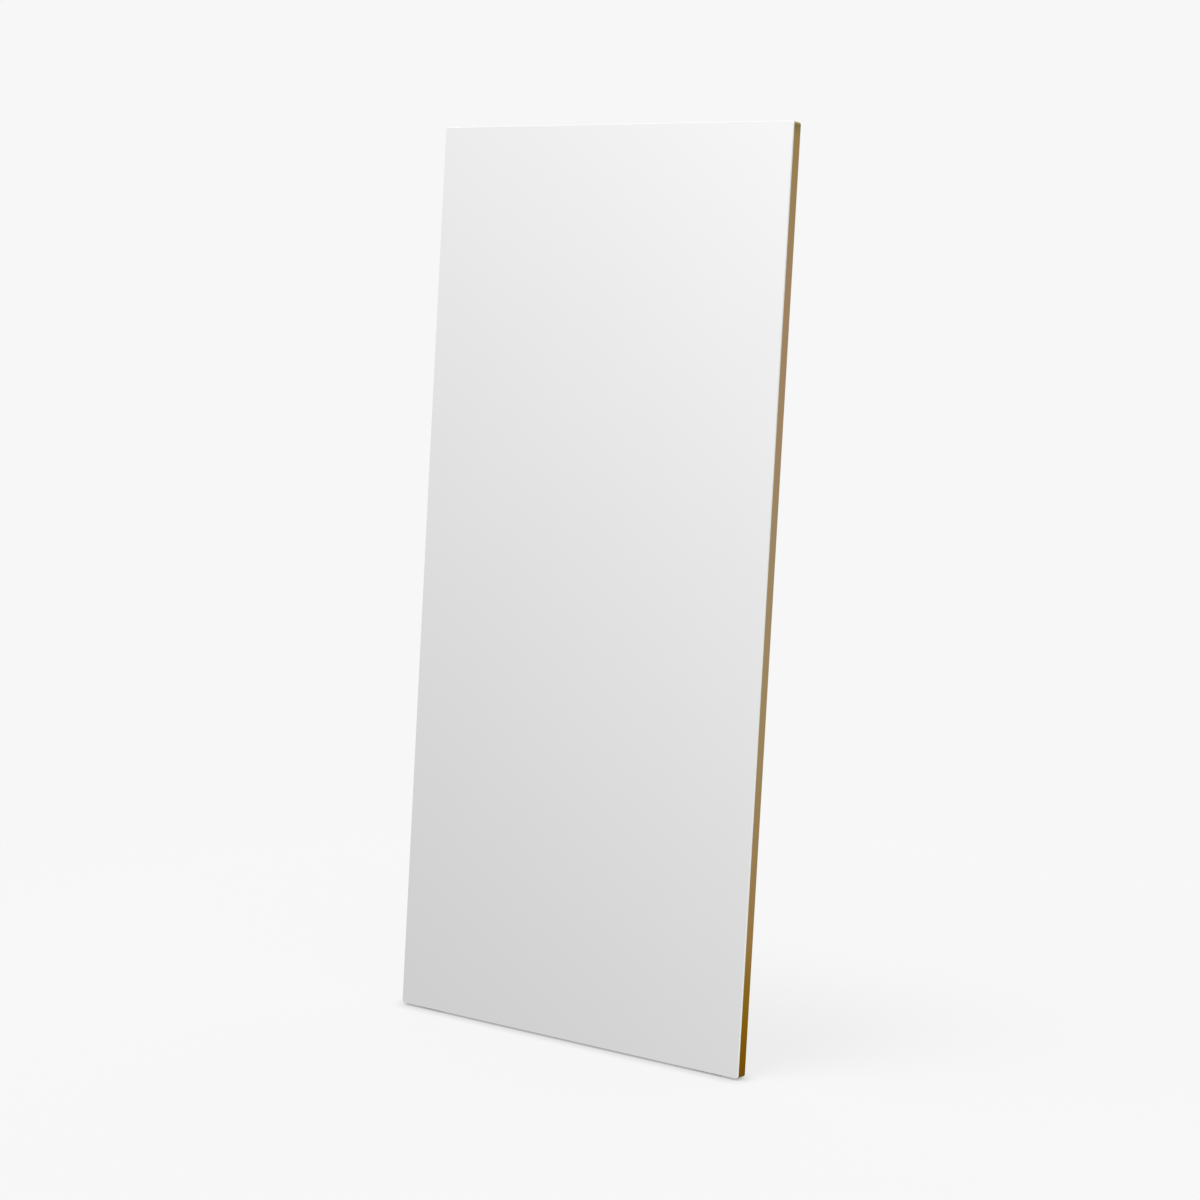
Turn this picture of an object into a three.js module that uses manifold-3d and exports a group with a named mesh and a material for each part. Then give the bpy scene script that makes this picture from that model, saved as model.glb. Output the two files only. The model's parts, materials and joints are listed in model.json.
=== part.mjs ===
// A free-standing floor mirror. An edge-to-edge mirror glass is bonded to a slim mitred aluminium frame,
// closed behind by a backing board, and held at a shallow lean by a folding U-shaped stand.
// Millimetres, +Z up. The glass faces -Y, and the origin is under the middle of the object, on the floor.
// The panel's own frame has X to the right, Y from the front of the glass to the back, and Z up the panel.
import * as THREE from "three";
import { mergeVertices } from "three/addons/utils/BufferGeometryUtils.js";
import Module from "manifold-3d";

const wasm = await Module();
wasm.setup();

// Panel outline and lean
const WIDTH = 800;
const HEIGHT = 1700;
const CORNER_RADIUS = 5;
const LEAN = THREE.MathUtils.degToRad(5.1);
const GAP = 0.3; // bond line or running clearance between neighbours

// Layers of the panel, each measured back from the front of the glass
const GLASS_THICKNESS = 4;
const GLASS_ARRIS = 0.6;
const FILM_FRONT = GLASS_THICKNESS + GAP;
const FILM_THICKNESS = 0.3;
const TAPE_FRONT = FILM_FRONT + FILM_THICKNESS + GAP;
const TAPE_THICKNESS = 0.8;
const RAIL_FLANGE_FRONT = TAPE_FRONT + TAPE_THICKNESS + GAP;
const FRAME_BACK = 24;

// Rail section: an outer wall, and a box-shaped chamber that takes the corner keys
const RAIL_WALL = 2.2;
const RAIL_WEB = 1.6;
const CHAMBER_WIDTH = 16;
const CHAMBER_BACK = 16;
const CHAMBER_MIDDLE = (RAIL_WALL + CHAMBER_WIDTH - RAIL_WEB) / 2;

// Backing board, foam and batten
const BOARD_FRONT = CHAMBER_BACK + GAP;
const BOARD_THICKNESS = 5;
const BOARD_BACK = BOARD_FRONT + BOARD_THICKNESS;
const BOARD_INSET = RAIL_WALL + 0.5;
const FOAM_WIDTH = 50;
const FOAM_X = 310;
const BATTEN_WIDTH = 500;
const BATTEN_HEIGHT = 96;
const BATTEN_THICKNESS = 9;

// Corner keys and their grub screws
const KEY_LEG = 42;
const GRUB_FROM_CORNER = 28;
const GRUB_RADIUS = 2.4;
const GRUB_SOCKET_RADIUS = 1.3;

// Screws: [shank radius, head radius, head height, length under the head's top]
const BOARD_SCREW = { shank: 1.6, head: 3.4, headHeight: 2, length: 12.5 };
const BRACKET_SCREW = { shank: 2, head: 4, headHeight: 2.2, length: 17 };
const STRAP_SCREW = { shank: 1.6, head: 3, headHeight: 1.3, length: 14 };
const STRAP_SCREW_SUNK = 0.1;
const SCREW_SIDES = 12;

// Stand: a bent tube on two pivots behind the batten
const PIVOT_UP = 1180; // up the panel
const PIVOT_BACK = 36; // behind the front of the glass
const STAND_HALF_WIDTH = 190;
const TUBE_RADIUS = 7;
const TUBE_BORE = 5.8;
const BEND_RADIUS = 45;
const BEND_STEPS = 8;
const SOLE_DROP = 9; // from the crossbar's axis to the flat sole of its feet
const SLEEVE_RADIUS = 10;
const SLEEVE_LENGTH = 70;
const SLEEVE_X = 105;
const PLUG_CAP = 2;
const PLUG_DEPTH = 12;

// Hinge brackets
const BRACKET_WIDTH = 54;
const BRACKET_HEIGHT = 90;
const BRACKET_THICKNESS = 2;
const BRACKET_FRONT = BOARD_BACK + GAP;
const BRACKET_BACK = BRACKET_FRONT + BRACKET_THICKNESS;
const BRACKET_SCREW_X = 19;
const BRACKET_SCREW_Z = 36;
const EAR_RADIUS = 10;
const EAR_GAP = 2 * (TUBE_RADIUS + 0.6);
const EAR_THICKNESS = 2;
const BOLT_RADIUS = 3;
const BOLT_HEAD_RADIUS = 5.5;
const BOLT_HEAD_HEIGHT = 3.3;
const NUT_RADIUS = 5.8;
const NUT_HEIGHT = 5;

// Plate that an anti-tip strap is fixed to, screwed through the board into the top rail
const STRAP_PLATE_WIDTH = 64;
const STRAP_PLATE_HEIGHT = 26;
const STRAP_PLATE_THICKNESS = 1.6;
const STRAP_PLATE_FRONT = BOARD_BACK + GAP;
const STRAP_PLATE_BACK = STRAP_PLATE_FRONT + STRAP_PLATE_THICKNESS;
const STRAP_PLATE_TOP = HEIGHT - RAIL_WALL - 0.8;
const STRAP_SCREW_X = 23;

// Feet under the panel, and bumpers behind its top corners
const PAD_REAR_HEIGHT = 2; // under the frame's rear edge
const PAD_FRONT = 5;
const PAD_BACK = 23;
const PAD_LENGTH = 60;
const PAD_X = 330;
const BUMPER_RADIUS = 9;
const BUMPER_HEIGHT = 6;
const BUMPER_INSET = 45;

// Folded flat, the stand's feet end level with the pads under the panel.
const LEG_LENGTH = PIVOT_UP - SLEEVE_RADIUS + PAD_REAR_HEIGHT;

// Where the leaning panel stands, and how the stand meets the floor
const PANEL_LIFT = PAD_REAR_HEIGHT + FRAME_BACK * Math.sin(LEAN);
const PIVOT_Y = PIVOT_BACK * Math.cos(LEAN) + PIVOT_UP * Math.sin(LEAN);
const PIVOT_Z = PANEL_LIFT + PIVOT_UP * Math.cos(LEAN) - PIVOT_BACK * Math.sin(LEAN);
const STAND_LEAN = Math.acos((PIVOT_Z - SOLE_DROP) / LEG_LENGTH);
const FOOT_Y = PIVOT_Y + LEG_LENGTH * Math.sin(STAND_LEAN);
const OVERALL_DEPTH = FOOT_Y + SLEEVE_RADIUS;
// Open, the tube's top edge rests on the bracket and stops the stand.
const OPEN_ANGLE = LEAN + STAND_LEAN;
const HEEL =
  (PIVOT_BACK - BRACKET_BACK - GAP - TUBE_RADIUS * Math.cos(OPEN_ANGLE)) / Math.sin(OPEN_ANGLE);

const finish = (color, roughness, metalness) =>
  new THREE.MeshStandardMaterial({ color, roughness, metalness });
const materials = {
  mirror: finish(0xdfe3e3, 0.02, 1),
  film: finish(0x8f9aa3, 0.5, 0),
  tape: finish(0xf0efe9, 0.8, 0),
  brass: finish(0xb08a4f, 0.3, 1),
  castZinc: finish(0x8d9094, 0.5, 1),
  steel: finish(0xb4b7ba, 0.35, 1),
  board: finish(0x2a2b2d, 0.7, 0),
  foam: finish(0xe9e9e4, 0.9, 0),
  plywood: finish(0xc8a775, 0.7, 0),
  blackSteel: finish(0x1c1d1f, 0.5, 0.6),
  rubber: finish(0x151515, 0.85, 0),
  paleRubber: finish(0xbcbcba, 0.8, 0),
};

// ---- solids ---------------------------------------------------------------------------------------------

function solidOf(geometry) {
  const bare = geometry.clone();
  bare.deleteAttribute("normal");
  bare.deleteAttribute("uv");
  const merged = mergeVertices(bare, 1e-4);
  return new wasm.Manifold(
    new wasm.Mesh({
      numProp: 3,
      vertProperties: merged.attributes.position.array,
      triVerts: new Uint32Array(merged.index.array),
    }),
  );
}

function geometryOf(solid) {
  const mesh = solid.getMesh();
  const geometry = new THREE.BufferGeometry();
  geometry.setAttribute("position", new THREE.BufferAttribute(mesh.vertProperties, 3));
  geometry.setIndex(new THREE.BufferAttribute(mesh.triVerts, 1));
  geometry.computeVertexNormals();
  return geometry;
}

const cut = (geometry, tools) =>
  geometryOf(tools.reduce((solid, tool) => solid.subtract(solidOf(tool)), solidOf(geometry)));

const join = (geometries) =>
  geometryOf(geometries.map(solidOf).reduce((joined, solid) => joined.add(solid)));

const common = (a, b) => geometryOf(solidOf(a).intersect(solidOf(b)));

// ---- shapes shared by several pieces --------------------------------------------------------------------

function polygon(points) {
  return new THREE.Shape(points.map(([x, y]) => new THREE.Vector2(x, y)));
}

function roundedRectangle(width, height, radius) {
  const x = width / 2 - radius;
  const y = height / 2 - radius;
  const shape = new THREE.Shape();
  shape.absarc(x, y, radius, 0, Math.PI / 2);
  shape.absarc(-x, y, radius, Math.PI / 2, Math.PI);
  shape.absarc(-x, -y, radius, Math.PI, 1.5 * Math.PI);
  shape.absarc(x, -y, radius, 1.5 * Math.PI, 2 * Math.PI);
  return shape;
}

// A shape drawn in X and Z, and given its thickness along Y from `front`
function plate(shape, front, thickness) {
  return new THREE.ExtrudeGeometry(shape, { depth: thickness, bevelEnabled: false, curveSegments: 4 })
    .rotateX(Math.PI / 2)
    .translate(0, front + thickness, 0);
}

// A shape drawn in Y and Z, and given its width along X, centred on X = 0
function slice(shape, width, curveSegments = 8) {
  return new THREE.ExtrudeGeometry(shape, { depth: width, bevelEnabled: false, curveSegments })
    .rotateY(Math.PI / 2)
    .rotateX(Math.PI / 2)
    .translate(-width / 2, 0, 0);
}

// A turned piece about the Y axis, from [radius, y] pairs that run from its front to its back
function turned(profile, sides = SCREW_SIDES) {
  return new THREE.LatheGeometry(profile.map(([r, y]) => new THREE.Vector2(r, y)), sides);
}

// A screw that points forwards, with the top of its head at Y = 0
function countersunkScrew({ shank, head, headHeight, length }) {
  return turned([
    [0, -length], [shank, -length + 3], [shank, -headHeight], [head, -0.3], [head, 0], [0, 0],
  ]);
}

// The hole it sits in, open at the back
function countersunkHole({ shank, head, headHeight, length }) {
  const wide = shank + GAP;
  const mouth = head + GAP;
  return turned([
    [0, -length - 1], [wide, -length - 1], [wide, -headHeight], [mouth, -0.3], [mouth, 1], [0, 1],
  ]);
}

// A pan-head screw that points forwards, with the underside of its head at Y = 0
function panScrew({ shank, head, headHeight, length }) {
  return turned([
    [0, -length], [shank, -length + 4], [shank, 0], [head, 0], [head, 0.5 * headHeight],
    [0.7 * head, headHeight], [0, headHeight],
  ]);
}

function straightHole(radius, length) {
  return new THREE.CylinderGeometry(radius + GAP, radius + GAP, length, SCREW_SIDES);
}

const moved = (geometry, [x, y, z]) => geometry.clone().translate(x, y, z);

// ---- where the fasteners go, in the panel's frame -------------------------------------------------------

const SIDES = { left: -1, right: 1 };
const ENDS = { bottom: 0, top: 1 };

const boardScrewSpots = [];
for (const side of Object.values(SIDES))
  for (const share of [-0.44, -0.15, 0.15, 0.44])
    boardScrewSpots.push([side * (WIDTH / 2 - CHAMBER_MIDDLE), BOARD_BACK, HEIGHT * (0.5 + share)]);

const bracketScrewSpots = [];
for (const side of Object.values(SIDES))
  for (const x of [-BRACKET_SCREW_X, BRACKET_SCREW_X])
    for (const z of [-BRACKET_SCREW_Z, BRACKET_SCREW_Z])
      bracketScrewSpots.push([side * STAND_HALF_WIDTH + x, BRACKET_BACK + GAP, PIVOT_UP + z]);

const strapScrewSpots = [-STRAP_SCREW_X, STRAP_SCREW_X].map((x) => [
  x, STRAP_PLATE_BACK - STRAP_SCREW_SUNK, HEIGHT - CHAMBER_MIDDLE,
]);

// Two grub screws in each corner key, one for the upright rail and one for the level rail
const grubSpots = { upright: [], level: [] };
for (const side of Object.values(SIDES))
  for (const end of Object.values(ENDS)) {
    const x = (inset) => side * (WIDTH / 2 - inset);
    const z = (inset) => (end ? HEIGHT - inset : inset);
    grubSpots.upright.push([x(CHAMBER_MIDDLE), CHAMBER_BACK - GAP, z(GRUB_FROM_CORNER)]);
    grubSpots.level.push([x(GRUB_FROM_CORNER), CHAMBER_BACK - GAP, z(CHAMBER_MIDDLE)]);
  }

// ---- the glass and what is bonded behind it -------------------------------------------------------------

function mirrorGlass() {
  const shape = roundedRectangle(WIDTH, HEIGHT, CORNER_RADIUS);
  return new THREE.ExtrudeGeometry(shape, {
    depth: GLASS_THICKNESS - 2 * GLASS_ARRIS,
    bevelThickness: GLASS_ARRIS,
    bevelSize: GLASS_ARRIS,
    bevelOffset: -GLASS_ARRIS,
    bevelSegments: 1,
    curveSegments: 4,
  })
    .rotateX(Math.PI / 2)
    .translate(0, GLASS_THICKNESS - GLASS_ARRIS, HEIGHT / 2);
}

function safetyFilm() {
  const margin = 6;
  return plate(roundedRectangle(WIDTH - margin, HEIGHT - margin, CORNER_RADIUS), FILM_FRONT, FILM_THICKNESS)
    .translate(0, 0, HEIGHT / 2);
}

function bondingTape(length) {
  const width = 10;
  return plate(roundedRectangle(width, length, 1), TAPE_FRONT, TAPE_THICKNESS);
}

// ---- the frame ------------------------------------------------------------------------------------------

// A rail along Z with its outer face on X = 0, mitred at both ends and eased to the corner radius
function railBlank(length) {
  const section = polygon([
    [0, FILM_FRONT], [RAIL_WALL, FILM_FRONT], [RAIL_WALL, RAIL_FLANGE_FRONT],
    [CHAMBER_WIDTH, RAIL_FLANGE_FRONT], [CHAMBER_WIDTH, CHAMBER_BACK], [RAIL_WALL, CHAMBER_BACK],
    [RAIL_WALL, FRAME_BACK], [0, FRAME_BACK],
  ]);
  const inner = CHAMBER_WIDTH - RAIL_WEB;
  const front = RAIL_FLANGE_FRONT + RAIL_WEB;
  const back = CHAMBER_BACK - RAIL_WEB;
  section.holes.push(polygon([[RAIL_WALL, front], [RAIL_WALL, back], [inner, back], [inner, front]]));
  const rail = new THREE.ExtrudeGeometry(section, { depth: length, bevelEnabled: false });
  const place = rail.attributes.position;
  for (let i = 0; i < place.count; i++) {
    const inward = place.getX(i) + GAP / 2;
    const end = place.getZ(i) > length / 2 ? length - inward : inward;
    place.setZ(i, end - length / 2);
  }
  return common(rail, cornerEasing(length));
}

// A slab with two rounded corners, which trims the outer corners of a rail
function cornerEasing(length) {
  const z = length / 2 - CORNER_RADIUS;
  const shape = new THREE.Shape();
  shape.absarc(CORNER_RADIUS, z, CORNER_RADIUS, Math.PI / 2, Math.PI);
  shape.absarc(CORNER_RADIUS, -z, CORNER_RADIUS, Math.PI, 1.5 * Math.PI);
  shape.lineTo(3 * CHAMBER_WIDTH, -length / 2);
  shape.lineTo(3 * CHAMBER_WIDTH, length / 2);
  return plate(shape, 0, FRAME_BACK + 1);
}

// Each rail as its length, and the turn and place that put its outer face on the outline
const rails = {
  left: { length: HEIGHT, turn: 0, place: [-WIDTH / 2, 0, HEIGHT / 2] },
  right: { length: HEIGHT, turn: Math.PI, place: [WIDTH / 2, 0, HEIGHT / 2] },
  bottom: { length: WIDTH, turn: -Math.PI / 2, place: [0, 0, 0] },
  top: { length: WIDTH, turn: Math.PI / 2, place: [0, 0, HEIGHT] },
};

function frameRail({ length, turn, place }) {
  const blank = railBlank(length).rotateY(turn).translate(...place);
  const grubs = [...grubSpots.upright, ...grubSpots.level];
  return cut(blank, [
    ...boardScrewSpots.map((spot) => moved(countersunkHole(BOARD_SCREW), spot)),
    ...grubs.map((spot) => moved(straightHole(GRUB_RADIUS, 2 * RAIL_WEB + 1), spot)),
    ...strapScrewHoles(),
  ]);
}

// An L-shaped key in the chambers of two rails, with its outer corner towards -X and -Z
function cornerKey() {
  const near = RAIL_WALL + GAP;
  const far = CHAMBER_WIDTH - RAIL_WEB - GAP;
  const shape = polygon([
    [near, near], [KEY_LEG, near], [KEY_LEG, far], [far, far], [far, KEY_LEG], [near, KEY_LEG],
  ]);
  const front = RAIL_FLANGE_FRONT + RAIL_WEB + GAP;
  const back = CHAMBER_BACK - RAIL_WEB - GAP;
  const depth = 2 * (back - front);
  return cut(plate(shape, front, back - front), [
    moved(straightHole(GRUB_RADIUS, depth), [CHAMBER_MIDDLE, back, GRUB_FROM_CORNER]),
    moved(straightHole(GRUB_RADIUS, depth), [GRUB_FROM_CORNER, back, CHAMBER_MIDDLE]),
  ]);
}

// A set screw with a hexagonal socket in its rear end, which is at Y = 0
function grubScrew() {
  const length = 6.5;
  const socket = new THREE.CylinderGeometry(GRUB_SOCKET_RADIUS, GRUB_SOCKET_RADIUS, 5, 6);
  const blank = turned([[0, -length], [GRUB_RADIUS * 0.6, -length], [GRUB_RADIUS, -length + 1],
    [GRUB_RADIUS, 0], [0, 0]]);
  return cut(blank, [socket]);
}

// ---- the back of the panel ------------------------------------------------------------------------------

const strapScrewHoles = () =>
  strapScrewSpots.map((spot) => moved(straightHole(STRAP_SCREW.shank, 2 * STRAP_SCREW.length), spot));

const bracketScrewHoles = (depth) =>
  bracketScrewSpots.map((spot) => moved(straightHole(BRACKET_SCREW.shank, 2 * depth), spot));

function backingBoard() {
  const shape = roundedRectangle(WIDTH - 2 * BOARD_INSET, HEIGHT - 2 * BOARD_INSET, CORNER_RADIUS - 2);
  const blank = plate(shape, BOARD_FRONT, BOARD_THICKNESS).translate(0, 0, HEIGHT / 2);
  return cut(blank, [
    ...boardScrewSpots.map((spot) => moved(countersunkHole(BOARD_SCREW), spot)),
    ...bracketScrewHoles(BRACKET_SCREW.length),
    ...strapScrewHoles(),
  ]);
}

function strapPlate() {
  const shape = roundedRectangle(STRAP_PLATE_WIDTH, STRAP_PLATE_HEIGHT, 4);
  const blank = plate(shape, STRAP_PLATE_FRONT, STRAP_PLATE_THICKNESS)
    .translate(0, 0, STRAP_PLATE_TOP - STRAP_PLATE_HEIGHT / 2);
  return cut(blank, strapScrewSpots.map((spot) => moved(countersunkHole(STRAP_SCREW), spot)));
}

function foamStrip() {
  const front = FILM_FRONT + FILM_THICKNESS + GAP;
  const length = HEIGHT - 4 * CHAMBER_WIDTH;
  return plate(roundedRectangle(FOAM_WIDTH, length, 2), front, BOARD_FRONT - GAP - front)
    .translate(0, 0, HEIGHT / 2);
}

function standBatten() {
  const front = BOARD_FRONT - GAP - BATTEN_THICKNESS;
  const blank = plate(roundedRectangle(BATTEN_WIDTH, BATTEN_HEIGHT, 2), front, BATTEN_THICKNESS)
    .translate(0, 0, PIVOT_UP);
  return cut(blank, bracketScrewHoles(BRACKET_SCREW.length + 1));
}

// A pressed-steel bracket about its pivot: a base plate on the board and two ears around the leg
function hingeBracket() {
  const reach = PIVOT_BACK - BRACKET_BACK;
  const outside = roundedRectangle(BRACKET_WIDTH, BRACKET_HEIGHT, 6);
  const base = plate(outside, -reach - BRACKET_THICKNESS, BRACKET_THICKNESS);
  const outline = new THREE.Shape();
  outline.moveTo(-reach - 1, -1.6 * EAR_RADIUS);
  outline.absarc(0, 0, EAR_RADIUS, -Math.PI / 2, Math.PI / 2);
  outline.lineTo(-reach - 1, 1.6 * EAR_RADIUS);
  const earMiddle = (EAR_GAP + EAR_THICKNESS) / 2;
  const ears = [-earMiddle, earMiddle].map((x) => slice(outline, EAR_THICKNESS).translate(x, 0, 0));
  const boltHole = straightHole(BOLT_RADIUS, BRACKET_WIDTH).rotateZ(Math.PI / 2);
  const screwHoles = [];
  for (const x of [-BRACKET_SCREW_X, BRACKET_SCREW_X])
    for (const z of [-BRACKET_SCREW_Z, BRACKET_SCREW_Z])
      screwHoles.push(moved(straightHole(BRACKET_SCREW.shank, 8), [x, -reach, z]));
  return cut(join([base, ...ears]), [boltHole, ...screwHoles]);
}

// The bolt lies along X, with its head at the outer end
const EAR_OUTSIDE = EAR_GAP / 2 + EAR_THICKNESS + GAP;

function pivotBolt() {
  const tip = -EAR_OUTSIDE - NUT_HEIGHT - 2;
  const top = EAR_OUTSIDE + BOLT_HEAD_HEIGHT;
  return turned([
    [0, tip], [BOLT_RADIUS - 0.6, tip], [BOLT_RADIUS, tip + 0.6], [BOLT_RADIUS, EAR_OUTSIDE],
    [BOLT_HEAD_RADIUS, EAR_OUTSIDE], [BOLT_HEAD_RADIUS - 0.7, top - 1.2],
    [BOLT_HEAD_RADIUS - 2, top], [0, top],
  ], 16).rotateZ(-Math.PI / 2);
}

function pivotNut() {
  const blank = new THREE.CylinderGeometry(NUT_RADIUS, NUT_RADIUS, NUT_HEIGHT, 6);
  const nut = cut(blank, [straightHole(BOLT_RADIUS, 2 * NUT_HEIGHT)]);
  return nut.rotateZ(Math.PI / 2).translate(-EAR_OUTSIDE - NUT_HEIGHT / 2, 0, 0);
}

// A wedge whose sole is level on the floor while the panel leans
function footPad() {
  const soleAt = (back) => (back * Math.sin(LEAN) - PANEL_LIFT) / Math.cos(LEAN);
  const section = polygon([
    [PAD_FRONT, -GAP], [PAD_FRONT, soleAt(PAD_FRONT)], [PAD_BACK, soleAt(PAD_BACK)], [PAD_BACK, -GAP],
  ]);
  return slice(section, PAD_LENGTH);
}

function wallBumper() {
  const r = BUMPER_RADIUS;
  const h = BUMPER_HEIGHT;
  return turned([[0, 0], [r, 0], [r, 0.4 * h], [0.85 * r, 0.75 * h], [0.5 * r, h], [0, h]], 16);
}

// ---- the stand, about its pivot axis, with its legs along Z ---------------------------------------------

// The tube's centre line: a leg, a bend, the crossbar, a bend and the other leg. Each knot is one step.
class StandLine extends THREE.Curve {
  constructor() {
    super();
    const x = STAND_HALF_WIDTH - BEND_RADIUS;
    const z = -LEG_LENGTH + BEND_RADIUS;
    this.knots = [new THREE.Vector3(-STAND_HALF_WIDTH, 0, HEEL - PLUG_CAP)];
    for (const side of [-1, 1])
      for (let i = 0; i <= BEND_STEPS; i++) {
        const share = side < 0 ? i / BEND_STEPS : 1 - i / BEND_STEPS;
        const angle = (share * Math.PI) / 2;
        const across = x + BEND_RADIUS * Math.cos(angle);
        this.knots.push(new THREE.Vector3(side * across, 0, z - BEND_RADIUS * Math.sin(angle)));
      }
    this.knots.push(new THREE.Vector3(STAND_HALF_WIDTH, 0, HEEL - PLUG_CAP));
    this.steps = this.knots.length - 1;
  }
  getPoint(t, target = new THREE.Vector3()) {
    const at = Math.min(t * this.steps, this.steps - 1e-9);
    const i = Math.floor(at);
    return target.lerpVectors(this.knots[i], this.knots[i + 1], at - i);
  }
  // Steps follow the knots, not the length, so the straight runs take one step each.
  getUtoTmapping(u) {
    return u;
  }
}

function standTube() {
  const line = new StandLine();
  const section = new THREE.Shape().absarc(0, 0, TUBE_RADIUS, 0, 2 * Math.PI);
  section.holes.push(new THREE.Path().absarc(0, 0, TUBE_BORE, 0, 2 * Math.PI));
  const sweep = { steps: line.steps, extrudePath: line, curveSegments: 6 };
  const tube = new THREE.ExtrudeGeometry(section, sweep);
  const boltHoles = Object.values(SIDES).map((side) =>
    straightHole(BOLT_RADIUS, 4 * TUBE_RADIUS).rotateZ(Math.PI / 2).translate(side * STAND_HALF_WIDTH, 0, 0));
  return cut(tube, boltHoles);
}

function endPlug() {
  const stem = TUBE_BORE - 2 * GAP;
  const cap = TUBE_RADIUS;
  return turned([
    [0, -PLUG_DEPTH], [stem, -PLUG_DEPTH], [stem, GAP], [cap, GAP], [cap, PLUG_CAP - 0.6],
    [cap - 0.6, PLUG_CAP], [0, PLUG_CAP],
  ], 12).rotateX(Math.PI / 2);
}

// A rubber sleeve round the crossbar with a flat sole, turned so that the sole is level when the stand is
// open
function footSleeve() {
  const half = Math.acos(SOLE_DROP / SLEEVE_RADIUS);
  const down = -Math.PI / 2;
  const shape = new THREE.Shape().absarc(0, 0, SLEEVE_RADIUS, down + half, down - half + 2 * Math.PI);
  shape.holes.push(new THREE.Path().absarc(0, 0, TUBE_RADIUS + GAP, 0, 2 * Math.PI));
  return slice(shape, SLEEVE_LENGTH).rotateX(-STAND_LEAN);
}

// ---- assembly -------------------------------------------------------------------------------------------

function add(parent, name, geometry, material, place = [0, 0, 0]) {
  const mesh = new THREE.Mesh(geometry, materials[material]);
  mesh.name = name;
  mesh.position.set(...place);
  parent.add(mesh);
  return mesh;
}

const panel = new THREE.Group();
panel.rotation.x = -LEAN;
panel.position.z = PANEL_LIFT;

add(panel, "mirror_glass", mirrorGlass(), "mirror");
add(panel, "safety_film", safetyFilm(), "film");

const tapeInset = RAIL_WALL + 7;
for (const [name, { length, turn, place }] of Object.entries(rails)) {
  const tape = bondingTape(length - 4 * tapeInset).translate(tapeInset, 0, 0).rotateY(turn);
  add(panel, `bonding_tape_${name}`, tape, "tape", place);
  add(panel, `frame_rail_${name}`, frameRail({ length, turn, place }), "brass");
}

for (const [end, up] of Object.entries(ENDS))
  for (const [side, sign] of Object.entries(SIDES)) {
    // The key's corner points to the bottom left, so it is turned by quarter turns for the other corners.
    const quarter = { "0,-1": 0, "0,1": -1, "1,1": 2, "1,-1": 1 }[`${up},${sign}`];
    const key = add(panel, `corner_key_${end}_${side}`, cornerKey(), "castZinc");
    key.rotation.y = (quarter * Math.PI) / 2;
    key.position.set((sign * WIDTH) / 2, 0, up * HEIGHT);
  }
[...grubSpots.upright, ...grubSpots.level].forEach((spot, i) =>
  add(panel, `corner_grub_screw_${i + 1}`, grubScrew(), "steel", spot));

add(panel, "backing_board", backingBoard(), "board");
add(panel, "stand_batten", standBatten(), "plywood");
boardScrewSpots.forEach((spot, i) =>
  add(panel, `board_screw_${i + 1}`, countersunkScrew(BOARD_SCREW), "steel", spot));
bracketScrewSpots.forEach((spot, i) =>
  add(panel, `bracket_screw_${i + 1}`, panScrew(BRACKET_SCREW), "steel", spot));
add(panel, "strap_plate", strapPlate(), "steel");
strapScrewSpots.forEach((spot, i) =>
  add(panel, `strap_screw_${i + 1}`, countersunkScrew(STRAP_SCREW), "steel", spot));

for (const [side, sign] of Object.entries(SIDES)) {
  const pivot = [sign * STAND_HALF_WIDTH, PIVOT_BACK, PIVOT_UP];
  add(panel, `foam_strip_${side}`, foamStrip(), "foam", [sign * FOAM_X, 0, 0]);
  add(panel, `hinge_bracket_${side}`, hingeBracket(), "blackSteel", pivot);
  // The bolts mirror each other, with their heads outwards.
  add(panel, `pivot_bolt_${side}`, pivotBolt(), "steel", pivot).rotation.z = sign > 0 ? 0 : Math.PI;
  add(panel, `pivot_nut_${side}`, pivotNut(), "steel", pivot).rotation.z = sign > 0 ? 0 : Math.PI;
  add(panel, `foot_pad_${side}`, footPad(), "paleRubber", [sign * PAD_X, 0, 0]);
  add(panel, `wall_bumper_${side}`, wallBumper(), "rubber",
    [sign * (WIDTH / 2 - BUMPER_INSET), BOARD_BACK + GAP, HEIGHT - BUMPER_INSET]);
}

const stand = new THREE.Group();
stand.rotation.x = STAND_LEAN;
stand.position.set(0, PIVOT_Y, PIVOT_Z);
add(stand, "stand_tube", standTube(), "brass");
for (const [side, sign] of Object.entries(SIDES)) {
  add(stand, `tube_plug_${side}`, endPlug(), "rubber", [sign * STAND_HALF_WIDTH, 0, HEEL - PLUG_CAP]);
  add(stand, `foot_sleeve_${side}`, footSleeve(), "rubber", [sign * SLEEVE_X, 0, -LEG_LENGTH]);
}

const mirror = new THREE.Group();
mirror.position.y = -OVERALL_DEPTH / 2;
mirror.add(panel, stand);

export default mirror;
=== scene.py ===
import json
import math

import bmesh
import bpy
from mathutils import Matrix, Vector
from mathutils.geometry import tessellate_polygon


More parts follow.
